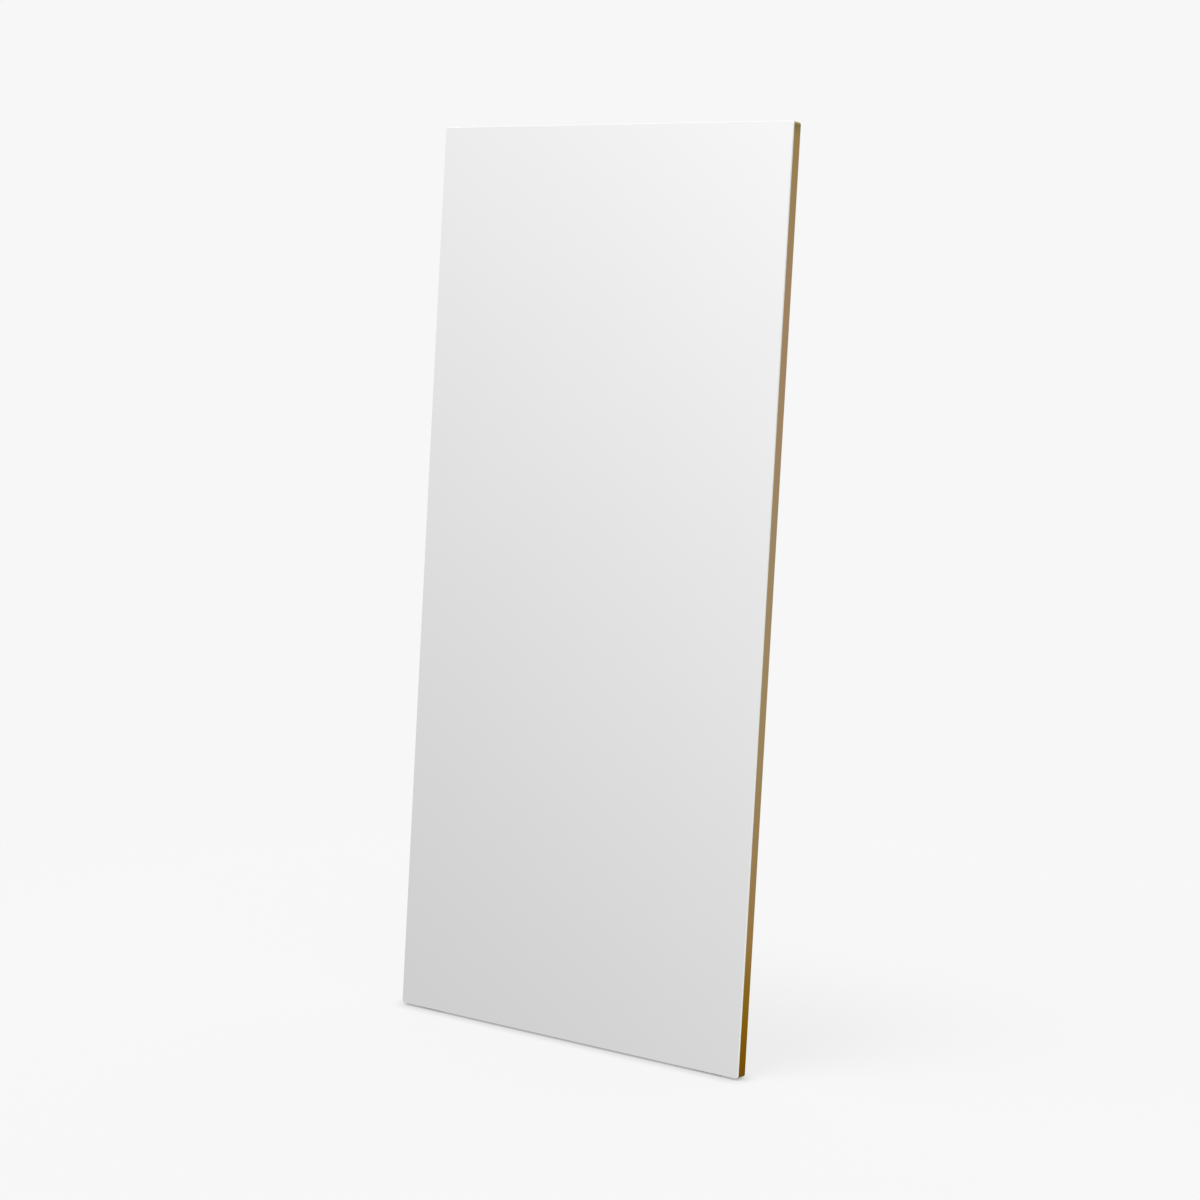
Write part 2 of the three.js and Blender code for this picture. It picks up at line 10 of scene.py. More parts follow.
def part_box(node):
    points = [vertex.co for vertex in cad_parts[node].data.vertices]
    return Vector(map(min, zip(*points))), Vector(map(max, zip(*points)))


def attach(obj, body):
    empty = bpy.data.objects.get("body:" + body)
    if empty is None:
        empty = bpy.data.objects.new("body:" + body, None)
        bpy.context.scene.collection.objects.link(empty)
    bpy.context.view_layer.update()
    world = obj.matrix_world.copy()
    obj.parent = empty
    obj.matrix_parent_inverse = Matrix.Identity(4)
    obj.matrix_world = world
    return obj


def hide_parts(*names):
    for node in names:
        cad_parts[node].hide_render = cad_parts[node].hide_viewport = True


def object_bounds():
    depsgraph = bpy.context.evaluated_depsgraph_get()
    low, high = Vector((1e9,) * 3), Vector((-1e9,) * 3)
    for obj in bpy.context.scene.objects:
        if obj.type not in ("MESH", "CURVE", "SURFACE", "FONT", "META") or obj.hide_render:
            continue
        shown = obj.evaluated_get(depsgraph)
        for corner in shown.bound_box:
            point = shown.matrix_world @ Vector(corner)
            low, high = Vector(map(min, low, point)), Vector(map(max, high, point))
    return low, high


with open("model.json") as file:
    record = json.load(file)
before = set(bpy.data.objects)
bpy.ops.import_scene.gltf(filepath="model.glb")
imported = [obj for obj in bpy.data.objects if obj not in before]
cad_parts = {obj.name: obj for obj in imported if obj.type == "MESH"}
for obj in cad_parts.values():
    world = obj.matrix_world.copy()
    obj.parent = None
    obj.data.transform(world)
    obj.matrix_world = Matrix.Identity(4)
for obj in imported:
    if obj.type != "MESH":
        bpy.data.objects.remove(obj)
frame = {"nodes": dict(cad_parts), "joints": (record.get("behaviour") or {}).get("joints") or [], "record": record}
cad_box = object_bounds()

# A leaning floor mirror: a glass front bonded to a slim brass-toned frame, a dark board behind it, and a
# U-shaped stand on two pivots. Lengths are in metres. Panel pieces are drawn in the panel's own frame, which
# has X to the right, Y from the front of the glass to the back and Z up the panel. Stand pieces are drawn
# about the pivots.

MM = 0.001

# Panel section, measured back from the glass and inwards from the outline
CORNER_RADIUS = 5 * MM
RAIL_FRONT = 4.3 * MM
RAIL_WALL = 2.2 * MM
FLANGE_FRONT = 6 * MM
RAIL_WEB = 1.6 * MM
CHAMBER_WIDTH = 16 * MM
CHAMBER_BACK = 16 * MM
FRAME_BACK = 24 * MM
MITRE_HAIRLINE = 0.08 * MM

# Fasteners
RUNNING_GAP = 0.3 * MM
BOARD_SCREW_HEAD = 3.4 * MM
BOARD_SCREW_SHANK = 1.6 * MM
BOARD_SCREW_LENGTH = 12.5 * MM
BRACKET_SCREW_HEAD = 4 * MM
BRACKET_SCREW_HEAD_HEIGHT = 2.2 * MM
BRACKET_SCREW_SHANK = 2 * MM
BRACKET_SCREW_LENGTH = 19 * MM
STRAP_SCREW_HEAD = 3 * MM
STRAP_SCREW_LENGTH = 14 * MM
BOLT_RADIUS = 3 * MM
BOLT_HEAD_HEIGHT = 3.3 * MM
BOLT_SOCKET_RADIUS = 2.3 * MM
NUT_HEIGHT = 5 * MM
NUT_COLLAR_RADIUS = 4.3 * MM

# Plates, hinge brackets and stand
STRAP_PLATE_CORNER = 4 * MM
BRACKET_CORNER = 6 * MM
BRACKET_THICKNESS = 2 * MM
EAR_RADIUS = 10 * MM
EAR_THICKNESS = 2 * MM
TUBE_RADIUS = 7 * MM
TUBE_BORE = 5.8 * MM
BEND_RADIUS = 45 * MM
BEND_STEPS = 16
PLUG_CAP = 2 * MM

# Rubber feet and their grip ribs
SLEEVE_RADIUS = 10 * MM
SOLE_DROP = 9 * MM
SLEEVE_RIB = 0.8 * MM
SLEEVE_RIB_COUNT = 15
SLEEVE_RIB_SPACING = 4.5 * MM
PAD_RIB = 0.4 * MM
PAD_RIB_COUNT = 23
PAD_RIB_SPACING = 2.5 * MM


# ---- frames of the panel and the stand -------------------------------------------------------------------


def mount(name):
    return next(m for m in frame["record"]["mounts"] if m["name"] == name)


def panel_frame():
    """From the panel's own frame to the row frame, found from the tilt of its back and from the glass."""
    back = Vector(mount("strap_face")["axis"])
    turn = Matrix.Rotation(-math.atan2(-back.z, back.y), 4, "X")
    low, _ = box_in(turn, "mirror_glass")
    return turn @ Matrix.Translation((0, low.y, low.z))


def stand_frame():
    """From the stand's own frame, with its legs along Z and its pivots on X, to the row frame."""
    pivot = Vector(frame["joints"][0]["pos_m"])
    low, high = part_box("foot_sleeve_left")
    foot = Vector((0, (low.y + high.y) / 2, high.z - SLEEVE_RADIUS))
    lean = math.atan2(foot.y - pivot.y, pivot.z - foot.z)
    return Matrix.Translation(pivot) @ Matrix.Rotation(lean, 4, "X")


def box_in(own_frame, node):
    """Lowest and highest corner of a CAD node, along the axes of a panel or stand frame."""
    back = own_frame.inverted()
    places = [back @ v.co for v in frame["nodes"][node].data.vertices]
    low = Vector(min(p[i] for p in places) for i in range(3))
    high = Vector(max(p[i] for p in places) for i in range(3))
    return low, high


PANEL = panel_frame()
STAND = stand_frame()
SIDES = {"left": -1, "right": 1}


# ---- mesh helpers ----------------------------------------------------------------------------------------


def rounded_rectangle(low, high, radius, steps=10):
    """Points round a rectangle given by two (x, z) corners."""
    points = []
    centres = [
        (high[0] - radius, high[1] - radius), (low[0] + radius, high[1] - radius),
        (low[0] + radius, low[1] + radius), (high[0] - radius, low[1] + radius),
    ]
    for quarter, (x, z) in enumerate(centres):
        for i in range(steps + 1):
            angle = (quarter + i / steps) * math.pi / 2
            points.append((x + radius * math.cos(angle), z + radius * math.sin(angle)))
    return points


def circle(x, z, radius, sides=32):
    turns = [2 * math.pi * i / sides for i in range(sides)]
    return [(x + radius * math.cos(t), z + radius * math.sin(t)) for t in turns]


def prism(outline, near, far, holes=(), lay=lambda a, b, depth: (a, depth, b)):
    """A closed solid between two depths. `lay` puts an outline's point (a, b) and a depth in space."""
    bm = bmesh.new()
    rings = [outline, *holes]
    ends = []
    for depth in (near, far):
        ends.append([[bm.verts.new(lay(a, b, depth)) for a, b in ring] for ring in rings])
    for front, back in zip(*ends):
        for i in range(len(front)):
            j = (i + 1) % len(front)
            bm.faces.new((front[i], front[j], back[j], back[i]))
    for end in ends:
        if holes:
            flat = [v for ring in end for v in ring]
            for triangle in tessellate_polygon([[Vector((*p, 0)) for p in ring] for ring in rings]):
                bm.faces.new([flat[i] for i in triangle])
        else:
            bm.faces.new(end[0])
    bmesh.ops.recalc_face_normals(bm, faces=bm.faces)
    return bm


def along_x(a, b, depth):
    """Lays an outline drawn in Y and Z, with its thickness along X."""
    return (depth, a, b)


def turned(profile, sides=48):
    """A turned solid about Z, from (radius, z) points that start and end on the axis."""
    bm = bmesh.new()
    rings = []
    for radius, z in profile:
        if radius < 1e-7:
            rings.append([bm.verts.new((0, 0, z))])
        else:
            rings.append([bm.verts.new((x, y, z)) for x, y in circle(0, 0, radius, sides)])
    for low, high in zip(rings, rings[1:]):
        for i in range(sides):
            j = (i + 1) % sides
            around = [low[i % len(low)], low[j % len(low)], high[j % len(high)], high[i % len(high)]]
            corners = list(dict.fromkeys(around))
            if len(corners) > 2:
                bm.faces.new(corners)
    bmesh.ops.recalc_face_normals(bm, faces=bm.faces)
    return bm


def arc(centre_radius, centre_z, radius, start, end, steps):
    """Profile points on an arc, for a turned solid; angles are in degrees from the radius direction."""
    angles = [math.radians(start + (end - start) * i / steps) for i in range(steps + 1)]
    return [(centre_radius + radius * math.cos(a), centre_z + radius * math.sin(a)) for a in angles]


def merged(solids):
    """One bmesh that holds several, each given with its place."""
    whole = bmesh.new()
    for bm, place in solids:
        bm.transform(place)
        mesh = bpy.data.meshes.new("passing")
        bm.to_mesh(mesh)
        bm.free()
        whole.from_mesh(mesh)
        bpy.data.meshes.remove(mesh)
    return whole


def object_from(bm, name, materials=(), place=None):
    if place is not None:
        bm.transform(place)
    mesh = bpy.data.meshes.new(name)
    bm.to_mesh(mesh)
    bm.free()
    for material in materials:
        mesh.materials.append(material)
    made = bpy.data.objects.new(name, mesh)
    bpy.context.scene.collection.objects.link(made)
    return made


def settle(obj):
    """Turns an object with its modifiers into a plain mesh."""
    bpy.context.view_layer.update()
    evaluated = obj.evaluated_get(bpy.context.evaluated_depsgraph_get())
    mesh = bpy.data.meshes.new_from_object(evaluated)
    obj.modifiers.clear()
    obj.data = mesh


def combine(obj, other_bm, operation, materials=()):
    """Joins a solid to an object or cuts it out, and drops the solid."""
    other = object_from(other_bm, "tool", materials)
    modifier = obj.modifiers.new("combine", "BOOLEAN")
    modifier.operation = operation
    modifier.solver = "EXACT"
    modifier.material_mode = "TRANSFER"
    modifier.object = other
    settle(obj)
    bpy.data.objects.remove(other)


def soften(obj, width, segments=3):
    """Rounds the sharp edges a little, and leaves the flats flat."""
    shade(obj)
    bevel = obj.modifiers.new("soften", "BEVEL")
    bevel.width = width
    bevel.segments = segments
    bevel.limit_method = "ANGLE"
    bevel.angle_limit = math.radians(30)
    bevel.harden_normals = True


def shade(obj, sharp=35):
    obj.data.shade_smooth()
    obj.data.set_sharp_from_angle(angle=math.radians(sharp))


def fit(obj, body, slot, *nodes):
    """Puts a finished piece on its body, in the place of the CAD nodes that it stands for."""
    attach(obj, body)
    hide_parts(*nodes)
    return obj


# ---- node tree helpers -----------------------------------------------------------------------------------


def put(tree, socket, value):
    """Links an input to another node's output, or sets it to a constant."""
    if isinstance(value, bpy.types.NodeSocket):
        tree.links.new(value, socket)
    else:
        socket.default_value = value


def add(tree, kind, inputs=None, **settings):
    """Adds a node, with its settings and with its inputs by name or number."""
    node = tree.nodes.new(kind)
    for key, value in settings.items():
        setattr(node, key, value)
    for key, value in (inputs or {}).items():
        put(tree, node.inputs[key], value)
    return node


def maths(tree, operation, a, b=0.0, clamp=False):
    return add(tree, "ShaderNodeMath", {0: a, 1: b}, operation=operation, use_clamp=clamp).outputs[0]


def plus(tree, a, b):
    return maths(tree, "ADD", a, b)


def times(tree, a, b, clamp=False):
    return maths(tree, "MULTIPLY", a, b, clamp)


def dot(tree, a, b):
    return add(tree, "ShaderNodeVectorMath", {0: a, 1: b}, operation="DOT_PRODUCT").outputs["Value"]


def blend(tree, share, a, b):
    """A value between two others."""
    return add(tree, "ShaderNodeMix", {0: share, 2: a, 3: b}, data_type="FLOAT").outputs[0]


def remap(tree, value, start, end, low=0.0, high=1.0, kind="SMOOTHSTEP"):
    inputs = {"Value": value, "From Min": start, "From Max": end, "To Min": low, "To Max": high}
    return add(tree, "ShaderNodeMapRange", inputs, interpolation_type=kind).outputs[0]


def mix(tree, factor, a, b, blend_type="MIX"):
    """Mixes two colours, each a socket or three numbers."""
    a, b = ((*c, 1) if isinstance(c, tuple) else c for c in (a, b))
    node = add(tree, "ShaderNodeMix", {0: factor, 6: a, 7: b}, data_type="RGBA", blend_type=blend_type)
    return node.outputs[2]


def noise(tree, vector, scale, detail=3.0, roughness=0.5):
    inputs = {"Vector": vector, "Scale": scale, "Detail": detail, "Roughness": roughness}
    return add(tree, "ShaderNodeTexNoise", inputs).outputs[0]


def new_group(name, kind, inputs, outputs):
    """A node group with its sockets, each given as name: (type, default) or name: type."""
    tree = bpy.data.node_groups.new(name, kind)
    for direction, sockets in (("INPUT", inputs), ("OUTPUT", outputs)):
        for label, about in sockets.items():
            socket_type, default = about if isinstance(about, tuple) else (about, None)
            full_type = "NodeSocket" + socket_type
            socket = tree.interface.new_socket(name=label, in_out=direction, socket_type=full_type)
            if default is not None:
                socket.default_value = default
    return tree, tree.nodes.new("NodeGroupInput").outputs, tree.nodes.new("NodeGroupOutput").inputs


def use(tree, group, **inputs):
    """Places a shader group; an underscore in an input's name stands for a space."""
    node = add(tree, "ShaderNodeGroup", node_tree=group)
    for key, value in inputs.items():
        put(tree, node.inputs[key.replace("_", " ")], value)
    return node.outputs[0]


# ---- shader groups ---------------------------------------------------------------------------------------


def streaks_group():
    """Fine lines, such as a brushed grain. Stretch is the pattern's scale along each axis."""
    tree, given, made = new_group(
        "streaks", "ShaderNodeTree", {"Vector": "Vector", "Stretch": "Vector"}, {"Streaks": "Float"}
    )
    factors = {0: given["Vector"], 1: given["Stretch"]}
    stretched = add(tree, "ShaderNodeVectorMath", factors, operation="MULTIPLY").outputs[0]
    fine = noise(tree, stretched, 1, 4, 0.6)
    tree.links.new(fine, made["Streaks"])
    return tree


def mottle_group():
    """Slow, uneven change over a surface, from 0 to 1."""
    tree, given, made = new_group(
        "mottle", "ShaderNodeTree", {"Vector": "Vector", "Scale": ("Float", 10.0)}, {"Mottle": "Float"}
    )
    tree.links.new(remap(tree, noise(tree, given["Vector"], given["Scale"], 5), 0.3, 0.7), made["Mottle"])
    return tree


def wear_group():
    """A mask that is 1 where a convex edge has been rubbed."""
    sockets = {
        "Vector": "Vector", "Width": ("Float", 0.001), "Breakup": ("Float", 300.0), "Amount": ("Float", 1.0),
    }
    tree, given, made = new_group("edge_wear", "ShaderNodeTree", sockets, {"Mask": "Float"})
    rounded = add(tree, "ShaderNodeBevel", {"Radius": given["Width"]}, samples=6).outputs[0]
    flat = add(tree, "ShaderNodeNewGeometry").outputs["Normal"]
    edge = remap(tree, dot(tree, rounded, flat), 0.97, 0.8)
    broken = remap(tree, noise(tree, given["Vector"], given["Breakup"], 4, 0.65), 0.42, 0.6)
    tree.links.new(times(tree, times(tree, edge, broken), given["Amount"], clamp=True), made["Mask"])
    return tree


def dust_group():
    """A mask of settled dust: more of it on faces that look up."""
    sockets = {"Vector": "Vector", "Amount": ("Float", 0.5)}
    tree, given, made = new_group("dust", "ShaderNodeTree", sockets, {"Mask": "Float"})
    normal = add(tree, "ShaderNodeNewGeometry").outputs["Normal"]
    upward = add(tree, "ShaderNodeSeparateXYZ", {0: normal}).outputs["Z"]
    lying = remap(tree, upward, -0.2, 1.0, 0.15, 1.0)
    grains = remap(tree, noise(tree, given["Vector"], 900, 4, 0.7), 0.45, 0.75)
    tree.links.new(times(tree, times(tree, lying, grains), given["Amount"], clamp=True), made["Mask"])
    return tree


STREAKS = streaks_group()
MOTTLE = mottle_group()
WEAR = wear_group()
DUST = dust_group()


# ---- materials -------------------------------------------------------------------------------------------


def new_material(name):
    material = bpy.data.materials.new(name)
    material.use_nodes = True
    tree = material.node_tree
    return material, tree, tree.nodes["Principled BSDF"]


def own_coordinates(tree, lean=0.0):
    """Object coordinates, turned upright from the lean of the panel or the stand."""
    place = add(tree, "ShaderNodeTexCoord").outputs["Object"]
    return add(tree, "ShaderNodeMapping", {"Vector": place, "Rotation": (-lean, 0, 0)}).outputs[0]


def connect(tree, shader, **sockets):
    """Feeds the shader's inputs; an underscore stands for a space, and three numbers are a colour."""
    for key, value in sockets.items():
        fed = (*value, 1) if isinstance(value, tuple) else value
        put(tree, shader.inputs[key.replace("_", " ")], fed)


def bump(tree, height, distance, strength=1.0):
    inputs = {"Height": height, "Distance": distance, "Strength": strength}
    return add(tree, "ShaderNodeBump", inputs).outputs[0]


PANEL_LEAN = PANEL.to_euler().x
STAND_LEAN = STAND.to_euler().x


def silvered_glass():
    """The mirror surface: neutral silver with the faintest uneven haze that wiping leaves."""
    material, tree, shader = new_material("silvered_glass")
    place = own_coordinates(tree, PANEL_LEAN)
    wiped = use(tree, STREAKS, Vector=place, Stretch=(9, 1, 3))
    haze = use(tree, MOTTLE, Vector=place, Scale=2.5)
    film = times(tree, wiped, haze)
    connect(
        tree, shader, Metallic=1.0,
        Base_Color=mix(tree, film, (0.852, 0.856, 0.852), (0.842, 0.846, 0.842)),
        Roughness=remap(tree, film, 0.2, 0.6, 0.0, 0.012),
    )
    return material


def polished_edge():
    """The ground and polished rim of the glass: pale green, with fine wheel marks along it."""
    material, tree, shader = new_material("polished_glass_edge")
    place = own_coordinates(tree, PANEL_LEAN)
    marks = use(tree, STREAKS, Vector=place, Stretch=(500, 4000, 500))
    depth = use(tree, MOTTLE, Vector=place, Scale=60.0)
    connect(
        tree, shader, Specular_IOR_Level=0.7, Coat_Weight=0.6, Coat_Roughness=0.03,
        Base_Color=mix(tree, depth, (0.85, 0.88, 0.87), (0.90, 0.925, 0.915)),
        Roughness=remap(tree, marks, 0.3, 0.7, 0.06, 0.16),
        Normal=bump(tree, marks, 0.02 * MM, 0.3),
    )
    return material


def backing_paint():
    """The grey paint over the silver."""
    material, tree, shader = new_material("backing_paint")
    place = own_coordinates(tree, PANEL_LEAN)
    curtain = use(tree, STREAKS, Vector=place, Stretch=(60, 60, 4))
    connect(
        tree, shader, Roughness=0.5,
        Base_Color=mix(tree, curtain, (0.16, 0.18, 0.20), (0.22, 0.24, 0.26)),
        Normal=bump(tree, curtain, 0.05 * MM, 0.4),
    )
    return material


def brushed_brass():
    """Anodised rail: a brushed grain along its length, and a painted reflection up its height.

    The painted reflection's tones are matched up the rail's height: deeper, darker gold towards the floor,
    pale in the middle and darker at the top. They stand in for part of what a real rail would reflect.
    """
    material, tree, shader = new_material("brushed_brass")
    along = add(tree, "ShaderNodeUVMap", uv_map="rail").outputs[0]
    place = add(tree, "ShaderNodeTexCoord").outputs["Object"]
    grain = use(tree, STREAKS, Vector=along, Stretch=(22, 6500, 1))
    coarse = use(tree, STREAKS, Vector=along, Stretch=(4, 900, 1))
    cloud = use(tree, MOTTLE, Vector=place, Scale=14.0)
    lines = plus(tree, times(tree, grain, 0.6), times(tree, coarse, 0.4))
    metal = mix(tree, lines, (0.62, 0.425, 0.228), (0.78, 0.565, 0.332))
    metal = mix(tree, times(tree, cloud, 0.25), metal, (0.68, 0.45, 0.22))
    height = add(tree, "ShaderNodeSeparateXYZ", {0: place}).outputs["Z"]
    # Painted reflection up the rail's height, multiplied into the grain: deeper, darker gold near the floor, pale
    # in the middle, darker at the top
    painted_reflection = add(tree, "ShaderNodeValToRGB", {0: maths(tree, "DIVIDE", height, cad_box[1].z)})
    painted_reflection_stops = (
        (0.00, (0.48, 0.31, 0.020)), (0.04, (0.66, 0.41, 0.026)), (0.08, (0.74, 0.55, 0.060)),
        (0.106, (0.76, 0.61, 0.16)), (0.14, (0.93, 0.75, 0.43)), (0.235, (0.94, 0.89, 0.69)),
        (0.35, (0.96, 0.97, 0.86)), (0.50, (0.94, 0.96, 0.96)), (0.80, (0.87, 0.82, 0.86)),
        (0.96, (0.74, 0.69, 0.55)), (0.985, (0.70, 0.67, 0.50)), (1.00, (0.42, 0.44, 0.33)),
    )
    set_ramp(painted_reflection.color_ramp, painted_reflection_stops)
    rubbed = use(tree, WEAR, Vector=place, Width=0.6 * MM, Breakup=160.0, Amount=0.5)
    grain_with_painted_reflection = mix(tree, 1.0, metal, painted_reflection.outputs[0], "MULTIPLY")
    connect(
        tree, shader, Metallic=1.0, Specular_Tint=(1.0, 0.9, 0.5),
        Base_Color=mix(tree, rubbed, grain_with_painted_reflection, (0.70, 0.56, 0.38)),
        Roughness=remap(tree, lines, 0.3, 0.7, 0.24, 0.40),
        Normal=bump(tree, lines, 0.03 * MM, 0.5),
    )
    return material


def set_ramp(ramp, stops):
    """Sets a colour ramp from (place, colour) stops; it has two stops to begin with."""
    while len(ramp.elements) < len(stops):
        ramp.elements.new(1.0)
    for element, (place, colour) in zip(ramp.elements, stops):
        element.position = place
        element.color = (*colour, 1)


def coated_brass():
    """The stand's tube: satin brass-toned lacquer with a slight draw along the tube and small rubs."""
    material, tree, shader = new_material("brass_lacquered_tube")
    place = own_coordinates(tree, STAND_LEAN)
    drawn = use(tree, STREAKS, Vector=place, Stretch=(500, 500, 14))
    cloud = use(tree, MOTTLE, Vector=place, Scale=35.0)
    peel = noise(tree, place, 1400, 2)
    rubs = remap(tree, noise(tree, place, 120, 6, 0.75), 0.66, 0.72)
    metal = mix(tree, cloud, (0.50, 0.345, 0.175), (0.58, 0.41, 0.22))
    metal = mix(tree, times(tree, rubs, 0.35), metal, (0.66, 0.52, 0.34))
    dulled = plus(tree, drawn, times(tree, rubs, 0.3))
    surface = plus(tree, times(tree, drawn, 0.4), times(tree, peel, 0.6))
    connect(
        tree, shader, Metallic=1.0, Base_Color=metal,
        Roughness=remap(tree, dulled, 0.3, 0.9, 0.22, 0.42), Normal=bump(tree, surface, 0.03 * MM, 0.35),
    )
    return material


def painted_board():
    """Fibreboard under one rolled coat of dark paint: a fine stipple, faint fibres and a few pale scuffs."""
    material, tree, shader = new_material("painted_fibreboard")
    place = own_coordinates(tree, PANEL_LEAN)
    stipple = noise(tree, place, 700, 3, 0.6)
    fibres = use(tree, STREAKS, Vector=place, Stretch=(900, 900, 160))
    passes = use(tree, STREAKS, Vector=place, Stretch=(16, 1, 0.7))
    scuff_lines = use(tree, STREAKS, Vector=place, Stretch=(420, 1, 14))
    scuff_spots = remap(tree, noise(tree, place, 4.5, 3), 0.60, 0.72)
    scuffs = times(tree, remap(tree, scuff_lines, 0.56, 0.68), scuff_spots)
    dark = mix(tree, passes, (0.026, 0.026, 0.028), (0.046, 0.045, 0.047))
    dark = mix(tree, times(tree, remap(tree, fibres, 0.55, 0.75), 0.35), dark, (0.085, 0.078, 0.070))
    dark = mix(tree, times(tree, scuffs, 0.22), dark, (0.16, 0.15, 0.14))
    rubbed = use(tree, WEAR, Vector=place, Width=1.2 * MM, Breakup=220.0, Amount=0.8)
    dust = use(tree, DUST, Vector=place, Amount=0.25)
    dark = mix(tree, dust, dark, (0.20, 0.19, 0.18))
    surface = plus(tree, times(tree, stipple, 0.7), times(tree, fibres, 0.3))
    connect(
        tree, shader, Base_Color=mix(tree, rubbed, dark, (0.30, 0.20, 0.12)),
        Roughness=remap(tree, stipple, 0.3, 0.7, 0.50, 0.72), Specular_IOR_Level=0.35,
        Normal=bump(tree, surface, 0.12 * MM, 0.6),
    )
    return material


def raw_board():
    """Cut fibreboard in the screw holes."""
    material, tree, shader = new_material("raw_fibreboard")
    place = own_coordinates(tree, PANEL_LEAN)
    fibres = noise(tree, place, 1500, 5, 0.7)
    connect(
        tree, shader, Base_Color=mix(tree, fibres, (0.20, 0.125, 0.07), (0.40, 0.28, 0.17)),
        Roughness=0.9, Normal=bump(tree, fibres, 0.2 * MM, 0.8),
    )
    return material


def black_powder():
    """Powder-coated steel: orange-peel skin, rubbed through to bright metal on a few edges."""
    material, tree, shader = new_material("black_powder_coat")
    place = own_coordinates(tree, PANEL_LEAN)
    peel = noise(tree, place, 900, 2, 0.4)
    cloud = use(tree, MOTTLE, Vector=place, Scale=80.0)
    rubbed = use(tree, WEAR, Vector=place, Width=0.7 * MM, Breakup=420.0, Amount=0.9)
    skin = mix(tree, cloud, (0.014, 0.014, 0.015), (0.024, 0.024, 0.026))
    connect(
        tree, shader, Base_Color=mix(tree, rubbed, skin, (0.42, 0.42, 0.43)), Metallic=rubbed,
        Roughness=remap(tree, peel, 0.3, 0.7, 0.34, 0.50), Normal=bump(tree, peel, 0.10 * MM, 0.6),
    )
    return material


def plated_steel(name, cool, warm, shine):
    """Plated fasteners: a thin tint that wanders from cool to warm, and turning marks."""
    material, tree, shader = new_material(name)
    place = own_coordinates(tree, PANEL_LEAN)
    tint = use(tree, MOTTLE, Vector=place, Scale=260.0)
    marks = use(tree, STREAKS, Vector=place, Stretch=(900, 5000, 900))
    rubbed = use(tree, WEAR, Vector=place, Width=0.4 * MM, Breakup=900.0, Amount=0.5)
    colour = mix(tree, tint, cool, warm)
    connect(
        tree, shader, Metallic=1.0, Base_Color=mix(tree, rubbed, colour, (0.75, 0.75, 0.75)),
        Roughness=remap(tree, marks, 0.3, 0.7, shine, shine + 0.16), Normal=bump(tree, marks, 0.02 * MM, 0.4),
    )
    return material


def moulded_rubber(name, dark, light):
    """Matt rubber with a fine mould grain, and pale dust in it."""
    material, tree, shader = new_material(name)
    place = own_coordinates(tree)
    grain = noise(tree, place, 2600, 2)
    cloud = use(tree, MOTTLE, Vector=place, Scale=70.0)
    dust = use(tree, DUST, Vector=place, Amount=0.3)
    connect(
        tree, shader, Base_Color=mix(tree, dust, mix(tree, cloud, dark, light), (0.30, 0.29, 0.28)),
        Specular_IOR_Level=0.3,
        Roughness=remap(tree, cloud, 0.0, 1.0, 0.62, 0.82), Normal=bump(tree, grain, 0.06 * MM, 0.6),
    )
    return material


def grained(name, dark, light, scale, roughness, stretch=(1, 1, 1), metallic=0.0):
    """A plain two-tone grain, for the pieces inside the panel and for small trim."""
    material, tree, shader = new_material(name)
    place = own_coordinates(tree, PANEL_LEAN)
    grain = use(tree, STREAKS, Vector=place, Stretch=tuple(scale * s for s in stretch))
    connect(
        tree, shader, Base_Color=mix(tree, grain, dark, light), Metallic=metallic,
        Roughness=remap(tree, grain, 0.2, 0.8, roughness - 0.08, roughness + 0.08),
        Normal=bump(tree, grain, 0.08 * MM, 0.5),
    )
    return material


MIRROR = silvered_glass()
GLASS_EDGE = polished_edge()
BACKING = backing_paint()
BRASS = brushed_brass()
TUBE_BRASS = coated_brass()
BOARD = painted_board()
RAW_BOARD = raw_board()
POWDER = black_powder()
ZINC = plated_steel("bright_zinc", (0.60, 0.62, 0.66), (0.68, 0.66, 0.60), 0.22)
BLACK_ZINC = plated_steel("black_zinc", (0.045, 0.046, 0.05), (0.07, 0.066, 0.06), 0.30)
RUBBER = moulded_rubber("black_rubber", (0.012, 0.012, 0.013), (0.026, 0.025, 0.025))
PAD_RUBBER = moulded_rubber("grey_rubber", (0.44, 0.44, 0.435), (0.54, 0.535, 0.52))
NYLON = grained("nylon_collar", (0.55, 0.56, 0.55), (0.72, 0.73, 0.72), 700, 0.45)
HIDDEN = {
    "safety_film": grained("woven_film", (0.36, 0.41, 0.46), (0.50, 0.55, 0.60), 400, 0.5, (1, 1, 0.1)),
    "bonding_tape": grained("foam_tape", (0.78, 0.77, 0.72), (0.90, 0.89, 0.85), 900, 0.85),
    "corner_key": grained("zinc_casting", (0.34, 0.35, 0.36), (0.52, 0.53, 0.54), 500, 0.5, metallic=1.0),
    "corner_grub_screw": ZINC,
    "foam_strip": grained("packing_foam", (0.80, 0.80, 0.77), (0.92, 0.92, 0.90), 600, 0.9),
    "stand_batten": grained("birch_plywood", (0.46, 0.32, 0.18), (0.68, 0.52, 0.34), 60, 0.7, (1, 20, 20)),
}


# ---- the panel -------------------------------------------------------------------------------------------


def mirror_pane():
    """The glass: silvered at the front, polished round its rim and painted at the back."""
    low, high = box_in(PANEL, "mirror_glass")
    outline = rounded_rectangle((low.x, low.z), (high.x, high.z), CORNER_RADIUS)
    bm = prism(outline, low.y, high.y)
    for face in bm.faces:
        face.material_index = 1 if abs(face.normal.y) < 0.9 else (0 if face.normal.y < 0 else 2)
    pane = object_from(bm, "mirror_pane", (MIRROR, GLASS_EDGE, BACKING), PANEL)
    soften(pane, 0.3 * MM, 2)
    pane.modifiers["soften"].material = 1
    fit(pane, "panel", "mirror", "mirror_glass")


